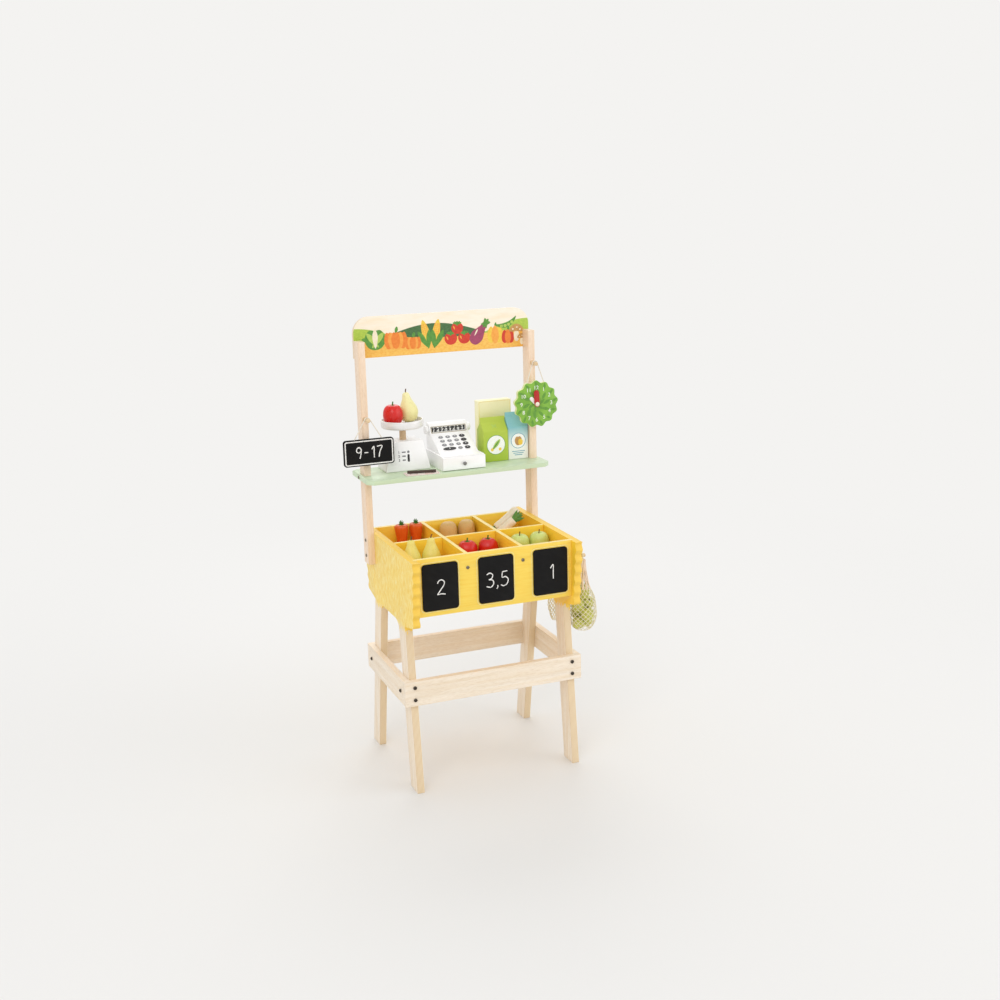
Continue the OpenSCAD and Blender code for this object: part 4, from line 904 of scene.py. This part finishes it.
# Cash register: a white painted housing with a sloped key desk, a number roller behind a window
# with a knob at each end, and a drawer with a small grey knob that slides out in front.
till = stand("register_body")
till.translation.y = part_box("register_drawer")[0].y / MM
eased("register_body", 1.3, white_paint)
eased("register_drawer", 1, white_paint)
eased("drawer_knob", 0.5, painted("grey lacquer on knob", "#7c7a79", 0.3))
eased("number_roller", 0.4, painted("dark grey paint on roller", "#3c3a38", 0.45))
eased("roller_knobs", 1.6, white_paint)
desk_rise, desk_run, desk_y, desk_z = 34.5, 62, 59, 46.77
desk = till @ moved(0, desk_y, desk_z) @ Matrix.Rotation(math.atan2(desk_rise, desk_run), 4, "X")


def oval(w, h, count=28):
    """An oval outline about the origin."""
    return [(w / 2 * x, h / 2 * y) for x, y in ring(count, 1)]


key_rows, key_columns, key_high, key_ease, zero_x = (22, 9, -4, -17), (-24, -8, 8, 24), 1.5, 0.6, -16
spots = [(desk @ Vector((x, y, 0)), desk.to_euler(), 1) for y in key_rows for x in key_columns[:3]]
dark_spots = [(desk @ Vector((key_columns[3], y, 0)), desk.to_euler(), 1) for y in key_rows]
del spots[9:11]  # the zero key takes two places
key_grey = painted("grey key", "#8f8f91", 0.4)
key_black = painted("black key", "#2b2a2a", 0.4)
keys = repeat(slab(bmesh.new(), oval(10.5, 7.6), key_high, ease=key_ease), spots, key_grey, 5)
piece("grey keys", keys, [key_grey], "register", "dark_knob")
dark_keys = repeat(slab(bmesh.new(), oval(12.6, 9), key_high, ease=key_ease), dark_spots, key_black, 5)
slab(dark_keys, oval(29, 9.4, 40), key_high, desk @ moved(zero_x, key_rows[3], 0), 0, key_ease)
piece("black keys", dark_keys, [key_black], "register", "dark_knob")
key_marks = bmesh.new()
key_texts = [(text, 3.2, key_columns[i % 3], key_rows[i // 3]) for i, text in enumerate("789456123")]
key_texts += [(text, 4, key_columns[3], y) for y, text in zip(key_rows, "+-x=")]
key_texts += [("0", 4.4, zero_x, key_rows[3]), (",", 4, key_columns[2], key_rows[3])]
for text, high, x, y in key_texts:
    figures(key_marks, text, high, desk @ moved(x, y, key_high), 0.12)
piece("figures on the keys", key_marks, [white_ink], "register", "dark_knob")
roller_low, roller_high = (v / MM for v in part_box("number_roller"))
roller_axis = Matrix.Translation((roller_low + roller_high) / 2)
roller_r = (roller_high.z - roller_low.z) / 2
roller_marks, first_x, column_step = bmesh.new(), -32.2, 9.2
for col in range(8):
    for step in range(5):
        turn = Matrix.Rotation(0.42 + step * math.pi / 2.5, 4, "X")
        spot = roller_axis @ turn @ moved(first_x + column_step * col, -roller_r, 0) @ upright
        figures(roller_marks, str((col * 3 + step * 2 + 1) % 10), 8.2, spot, 0.14, 0.28)
piece("figures on the roller", roller_marks, [white_ink], "roller", "roller")
brow_rise, brow_run, brow_y, brow_z = 22, 12, 94.36, 72
brow = till @ moved(0, brow_y, brow_z) @ Matrix.Rotation(math.atan2(brow_rise, brow_run), 4, "X")
window = line_frame(bmesh.new(), round_outline(80, 15.4, 1.6), round_outline(76.6, 12.2, 0.6), 0.6, brow)
window_tan = mottled("tan ink", "#b9b09c", "#a89f8c", 0.002)
piece("frame of the register window", window, [window_tan], "register", "white_paint")

# Cartons and box: play food packs of printed card with gable tops, and a flat pack behind them.
# The badges are plain round ones with a leaf or a drop form.


def card(name, foot, top, fibres, low, high):
    """Printed card, shaded from the foot to the top of a pack, with a fine fibrous skin."""
    finish, tree, shader, place = begin(name, 0.5)
    at = axes(tree, place)
    tone = blend(tree, ramp(tree, at["Z"], low * MM, high * MM), foot, top)
    fibre = marks(tree, place, (0.0008, 0.0008, 0.0025), 0.3, 0.7, detail=3)
    coat(tree, shader, blend(tree, calc(tree, "MULTIPLY", fibre, 0.16), tone, fibres), fibre, 0.03)
    return finish


for node, slot, *looks in (("green_carton", "green_card", "#aac43c", "#bdcf4e", "#93ad35", 617, 712),
                           ("blue_carton", "blue_card", "#f8f7f1", "#80c1cb", "#d9e8e6", 642, 686),
                           ("yellow_box", "yellow_card", "#f5eeb2", "#f8f3c8", "#e8dd9c", 617, 745)):
    eased(node, 0.6, card(node.split("_")[0] + " printed card", *looks))
badge_inks = [white_ink, inks[leaf], inks[pale], mottled("sky blue ink", "#4f9fb8", "#4590a8"),
              inks[yellow], inks[brown]]
on_white, on_leaf, on_pale, on_blue, on_yellow, on_brown = range(6)


def badge(shape, place, size, ring_ink, form, form_ink, wide, high, turn=0.0):
    """A round badge with one plain form in it."""
    slab(shape, ring(40, size / 2), 0.1, place, ring_ink)
    slab(shape, ring(40, size / 2 - 1.2), 0.16, place, on_white)
    slab(shape, blob(form, wide, high), 0.22, place @ Matrix.Rotation(math.radians(turn), 4, "Z"), form_ink)


green_at = stand("green_carton")
green_face = green_at @ moved(0, -0.02, 36) @ upright
green_marks = bmesh.new()
badge(green_marks, green_face, 43, on_leaf, blade, on_pale, 26, 30, -40)
slab(green_marks, blob(blade, 10, 24), 0.28, green_face @ Matrix.Rotation(-0.7, 4, "Z"), on_leaf)
for k in (-1, 1):
    slab(green_marks, ring(24, 3.4), 0.26, green_face @ moved(9 * k, -10, 0), on_yellow)
roof_rise, roof_run, roof_y, roof_z = 18.8, 18.5, 9.23, 75.22
green_roof = green_at @ moved(0, roof_y, roof_z) @ Matrix.Rotation(math.atan2(roof_rise, roof_run), 4, "X")
for k in (-1, 1):
    slab(green_marks, blob(blade, 12, 16), 0.15 + 0.05 * k, green_roof @ Matrix.Rotation(0.9 * k, 4, "Z"),
         on_pale)
piece("marks on the green carton", green_marks, badge_inks, "green_carton_piece", "green_card")
blue_face = stand("blue_carton") @ moved(0, -0.02, 40) @ upright
blue_marks = bmesh.new()
badge(blue_marks, blue_face, 34, on_blue, drop, on_brown, 17, 21)
slab(blue_marks, blob(drop, 11, 14), 0.3, blue_face @ moved(5, -3, 0), on_yellow)
for k in range(3):
    slab(blue_marks, round_outline(30 - 6 * k, 1.4, 0.6, 4), 0.12, blue_face @ moved(0, -23 - 4 * k, 0),
         on_blue)
piece("marks on the blue carton", blue_marks, badge_inks, "blue_carton_piece", "blue_card")
box_face = stand("yellow_box") @ moved(0, -0.02, 63) @ upright
box_marks = line_frame(bmesh.new(), round_outline(72, 122, 2), round_outline(71, 121, 1.5), 0.1, box_face)
piece("line on the yellow box", box_marks, [inks[yellow]], "yellow_box_piece", "yellow_card")

# Play note and stick: a pale printed card note lying on the shelf with a dark chalk stick on it.
# The note carries plain rings and bars.
eased("play_note", 0.2, card("pinkish note card", "#f3e6dd", "#f3e6dd", "#e4cfc2", 616, 618))
eased("chalk_stick", 0.7, painted("dark brown chalk stick", "#4a3a30", 0.7, 0.004, 0.1, 0.8))
note_low, note_high = (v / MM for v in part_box("play_note"))
note_mid = (note_low + note_high) / 2
note_top = moved(note_mid.x, note_mid.y, note_high.z - 0.02) @ Matrix.Rotation(math.radians(-4), 4, "Z")
ink_high = 0.08
note_marks = line_frame(bmesh.new(), round_outline(67, 29, 2), round_outline(65.6, 27.6, 1.3), ink_high,
                        note_top)
line_frame(note_marks, ring(36, 8), ring(36, 6.8), ink_high, note_top @ moved(-18, -4, 0))
for k in range(4):
    slab(note_marks, round_outline(22 - 3 * k, 1.2, 0.5, 4), ink_high, note_top @ moved(14, -11 + 3.4 * k, 0))
piece("marks on the note", note_marks, [mottled("rose ink", "#c98d84", "#bd7f77", 0.002)], "play_note_piece",
      "paper")

# Play food: turned and painted wooden fruit and vegetables, two of each, loose in the six bins,
# and a tomato and a pear in the dish of the scale. Leaves are felt, stalks are stained dowels.


def serve(node, shape, finishes, body=None):
    """Shows a food where its solid of the frame stands; left and right ones ride on their own bodies."""
    low, high = (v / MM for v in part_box(node))
    xs, ys, zs = zip(*(v.co for v in shape.verts))
    move = Vector(((low.x + high.x - min(xs) - max(xs)) / 2, (low.y + high.y - min(ys) - max(ys)) / 2,
                   low.z - min(zs)))
    bmesh.ops.translate(shape, vec=move, verts=shape.verts)
    kind = node.replace("scale_", "").split("_")[0]
    piece(node + " painted", shape, finishes, body or node + "_piece", kind, node)


def food_paint(name, top, foot, low, high, fleck, roughness=0.36):
    """Paint sprayed from one colour at the foot to another at the top of a form, with fine flecks."""
    finish, tree, shader, place = begin(name, roughness)
    at = axes(tree, place)
    tone = blend(tree, ramp(tree, at["Z"], low * MM, high * MM), foot, top)
    flecks = marks(tree, place, 0.002, 0.62, 0.7, detail=2)
    broad = marks(tree, place, (0.012, 0.012, 0.02), 0.35, 0.7)
    tone = blend(tree, calc(tree, "MULTIPLY", broad, 0.35), tone, foot)
    coat(tree, shader, blend(tree, calc(tree, "MULTIPLY", flecks, 0.5), tone, fleck), broad, 0.08)
    return finish


felt_green = mottled("green felt", "#4f8a35", "#2f6224", 0.0007, 0.95, 0.3, 0.7, 0.3, detail=3)
tomato_red = food_paint("red paint on turned wood", "#d41a12", "#c31410", 444, 484, "#e2473a", 0.28)
dish_red = food_paint("bright red paint on turned wood", "#dc1c13", "#cb1611", 712, 755, "#e2473a", 0.22)
pear_yellow = food_paint("pale yellow paint on turned wood", "#eee07e", "#dcd45f", 444, 500, "#b9a64a")
dish_pear = food_paint("pale cream paint on turned wood", "#f4eeb4", "#ece39a", 712, 775, "#c9b970")
apple_green = food_paint("pale green paint on turned wood", "#d3df88", "#b9cf62", 444, 484, "#e9eec0")
carrot_orange = food_paint("orange paint on turned wood", "#e0601c", "#d64f14", 444, 500, "#b93f10")
potato_tan = food_paint("tan paint on turned wood", "#dcb578", "#cfa361", 444, 494, "#9c7440", 0.55)
leek_white = food_paint("cream paint on turned wood", "#efe0cb", "#f3ead9", 444, 500, "#dcd9a8")
leek_leaf = food_paint("leaf green paint on wood", "#5d9347", "#3d7433", 444, 500, "#8fbb6a")


def lobes(count, depth, uneven=0.0, seed=0.0):
    """How a form swells round: even lobes and a little unevenness."""
    def swell(a, h):
        free = noise.noise((math.cos(a) * 0.9 + seed, math.sin(a) * 0.9, h * 0.04 + seed))
        return 1 + depth * (math.cos(count * a + seed) - 1) / 2 + uneven * free
    return swell


def leaf_star(shape, count, reach, z, curl):
    """Felt leaves round a stalk, each bent down to the form below."""
    for k in range(count):
        turn = Matrix.Rotation(2 * math.pi * k / count + 0.3, 4, "Z")
        path = [turn @ Vector((reach * t, 0, z + 1.2 - curl * t * t)) for t in (0, 0.25, 0.5, 0.75, 1)]
        tube(shape, path, [reach * 0.34 * w for w in (0.5, 0.95, 1, 0.6, 0.08)], 1, 10, 0.16, (0, 0, 1))


def stalk(shape, points, widths):
    """A short bent stalk through three points."""
    tube(shape, smoothed(points, 4), widths, 1, 9)


def tomato(node, paint, seed, body=None):
    shape = turned(bmesh.new(), [(0, .2), (9, 0), (17, 4.2), (21, 14.3), (21.5, 21), (20, 30.2), (15.5, 37.8),
                                 (9, 41), (4, 39.6), (0, 37.5)], around=72, swell=lobes(5, 0.045, 0.02, seed))
    leaf_star(shape, 5, 12, 39.2, 1.4)
    stalk(shape, [(0, 0, 37), (0.2, 0, 43), (1.2, 0.5, 48)], 2.8)
    serve(node, shape, [paint, felt_green], body)


def pear(node, paint, seed, body=None, lean=None):
    shape = turned(bmesh.new(), [(0, .3), (8, 0), (16, 5), (20, 17), (18.6, 28.5), (13.6, 39.7), (9.2, 49.6),
                                 (7.2, 57.7), (3.6, 61.6), (0, 61)], around=64,
                   swell=lobes(3, 0.02, 0.03, seed))
    stalk(shape, [(0, 0, 59), (0.6, 0, 64), (2.6, 0.4, 68.8)], [3.4] + [2.5] * 7 + [3])
    if lean:
        bmesh.ops.rotate(shape, matrix=lean, verts=shape.verts)
    serve(node, shape, [paint, stalk_wood], body)


def apple(node, seed):
    shape = turned(bmesh.new(), [(0, 2.5), (3, 1.6), (7.6, 0), (15.1, 3.2), (20, 13.6), (21, 22), (19.3, 32),
                                 (14.3, 38.4), (8.4, 40), (3, 36.8), (0, 34)], around=64,
                   swell=lobes(5, 0.03, 0.02, seed))
    stalk(shape, [(0, 0, 33), (0.3, 0, 40), (1.6, 0.5, 46.6)], [2.2] * 8 + [3])
    serve(node, shape, [apple_green, stalk_wood])


def carrot(node, seed):
    def ribs(a, h):
        free = noise.noise((math.cos(a) * 2, math.sin(a) * 2, h * 0.12 + seed))
        return 1 + 0.05 * (math.cos(11 * a) - 1) / 2 + 0.03 * free
    shape = turned(bmesh.new(), [(0, .2), (6.3, 0), (9.4, 10.8), (12.2, 27), (14.4, 43), (14, 51), (9, 54),
                                 (0, 53)], around=88, swell=ribs)
    leaf_star(shape, 6, 10, 53, 0.6)
    for k, (x, y) in enumerate(ring(9, 1)):
        out = 2.2 + 1.6 * (k % 3)
        top = Vector((x * out, y * out, 61 + 2.4 * (k % 3 == 0)))
        foot = Vector((x * 1.6, y * 1.6, 52.5))
        tube(shape, [foot, foot.lerp(top, 0.5), top], [1.6, 2.6, 0.6], 1, 7)
    serve(node, shape, [carrot_orange, felt_green])


def potato(node, seed):
    shape = turned(bmesh.new(), [(0, .3), (8, 0), (15, 4.8), (19.4, 16.8), (19.8, 26.4), (17.4, 38.4),
                                 (12, 45.6), (4, 48), (0, 47.6)], around=64, swell=lobes(2, 0.03, 0.09, seed))
    serve(node, shape, [potato_tan])


def leek(node, on_leaves, turn=-8, lie=52):
    shape = turned(bmesh.new(), [(0, .4), (5.5, 0), (9.4, 2.5), (11, 8.7), (9.9, 21.7), (9.2, 43.4),
                                 (9.4, 62), (0, 60)], around=48, swell=lobes(2, 0.02, 0.03, turn))
    for k, (x, y) in enumerate(ring(14, 1)):
        r = 2.5 + 2.5 * (k % 2)
        tube(shape, [(r * x, r * y, 1), (r * 1.15 * x, r * 1.15 * y, -1.4)], [0.9, 0.3], 0, 5)
    for k in (-2, -1, 0, 1, 2):
        fan = math.radians(9 * k)
        path = [Vector((math.sin(fan) * t * (1 + 0.2 * abs(k)), 1.3 * (k % 2) - 0.6,
                        59 + t * math.cos(fan) * (1 - 0.05 * abs(k)))) for t in (0, 7, 14, 21, 28.5)]
        tube(shape, path, [8, 9, 8.4, 6, 0.8], 1, 12, 0.26, (0, 1, 0))
    pose = Matrix.Rotation(math.radians(turn), 3, "Z") @ Matrix.Rotation(math.radians(lie), 3, "Y")
    if on_leaves:
        pose = pose @ Matrix.Rotation(math.pi, 3, "X")
    bmesh.ops.rotate(shape, matrix=pose, verts=shape.verts)
    serve(node, shape, [leek_white, leek_leaf])


tomato("tomato_left", tomato_red, 0.2)
tomato("tomato_right", tomato_red, 1.7)
pear("pear_left", pear_yellow, 0.6)
pear("pear_right", pear_yellow, 2.4)
for make, kind, seeds in ((apple, "apple", (0.9, 2.2)), (carrot, "carrot", (0.3, 1.9)),
                          (potato, "potato", (0.8, 2.9))):
    for side, seed in zip(("left", "right"), seeds):
        make(f"{kind}_{side}", seed)
leek("leek_front", False)
leek("leek_rear", True)
tomato("scale_tomato", dish_red, 2.6, "tomato_on_scale")
pear("scale_pear", dish_pear, 1.2, "pear_on_scale",
     Matrix.Rotation(math.radians(-60), 3, "Z") @ Matrix.Rotation(math.radians(-10), 3, "Y"))

# Stage: a plain pale floor that runs into the background, a soft key light from the front left,
# a weak fill from the right, a back light and an even sky; the camera is fitted to the photograph.
floor_half, floor_thick, floor_gap, backdrop = 9000, 20, 0.2, "#f4f3f1"
corners = [(sx * floor_half, sy * floor_half) for sx, sy in ((-1, -1), (1, -1), (1, 1), (-1, 1))]
floor_shape = slab(bmesh.new(), corners, floor_thick, moved(0, 0, -floor_thick - floor_gap))
stage_floor = as_object(floor_shape, "stage floor")
stage_white, tree, shader, place = begin("pale studio floor", 0.85)
shader.inputs["Base Color"].default_value = linear("#e4e3e1")
away = add(tree, "ShaderNodeVectorMath", {0: place}, operation="LENGTH").node.outputs["Value"]
away = ramp(tree, away, 0.7, 2.4, interpolation_type="SMOOTHSTEP")
seen = add(tree, "ShaderNodeLightPath").node.outputs["Is Camera Ray"]
haze = add(tree, "ShaderNodeEmission", {"Color": backdrop, "Strength": 1.0})
share = calc(tree, "MULTIPLY", away, seen)
both = add(tree, "ShaderNodeMixShader", {0: share, 1: shader.outputs[0], 2: haze})
tree.links.new(both, tree.nodes["Material Output"].inputs["Surface"])
stage_floor.data.materials.append(stage_white)
stage_floor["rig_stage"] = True
scene = bpy.context.scene
for name, spot, size, power in (("key", (-1.9, -2.7, 2.9), 2.2, 28), ("fill", (2.6, -1.8, 1.7), 2.4, 15),
                                ("back", (0.6, 2.4, 2.6), 2.0, 24)):
    lamp = bpy.data.lights.new(name, "AREA")
    lamp.size, lamp.energy = size, power
    holder = bpy.data.objects.new(name, lamp)
    holder.location = spot
    holder.rotation_euler = (Vector((0, 0, 0.5)) - Vector(spot)).to_track_quat("-Z", "Y").to_euler()
    scene.collection.objects.link(holder)
world = bpy.data.worlds.new("studio")
scene.world = world
world.use_nodes = True
sky = world.node_tree
for n in list(sky.nodes):
    sky.nodes.remove(n)
ray = add(sky, "ShaderNodeLightPath").node.outputs["Is Camera Ray"]
even = add(sky, "ShaderNodeBackground", {"Color": "#ffffff", "Strength": 0.9})
behind = add(sky, "ShaderNodeBackground", {"Color": backdrop, "Strength": 1.0})
both = add(sky, "ShaderNodeMixShader", {0: ray, 1: even, 2: behind})
add(sky, "ShaderNodeOutputWorld", {"Surface": both})
scene.view_settings.view_transform = "Standard"
eye, aim = Vector((-0.92298, -2.53563, 1.21271)), Vector((0.05202, -0.04668, 0.56694))
roll = math.radians(-1.54)
lens = bpy.data.cameras.new("camera")
lens.lens, lens.sensor_width, lens.clip_end = 48.253, 36, 100
camera = bpy.data.objects.new("camera", lens)
look = (aim - eye).to_track_quat("-Z", "Y").to_matrix().to_4x4()
camera.matrix_world = Matrix.Translation(eye) @ look @ Matrix.Rotation(roll, 4, "Z")
scene.collection.objects.link(camera)
scene.camera = camera

# Sizes: the box of the shown stall, in metres.
import json

low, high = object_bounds()
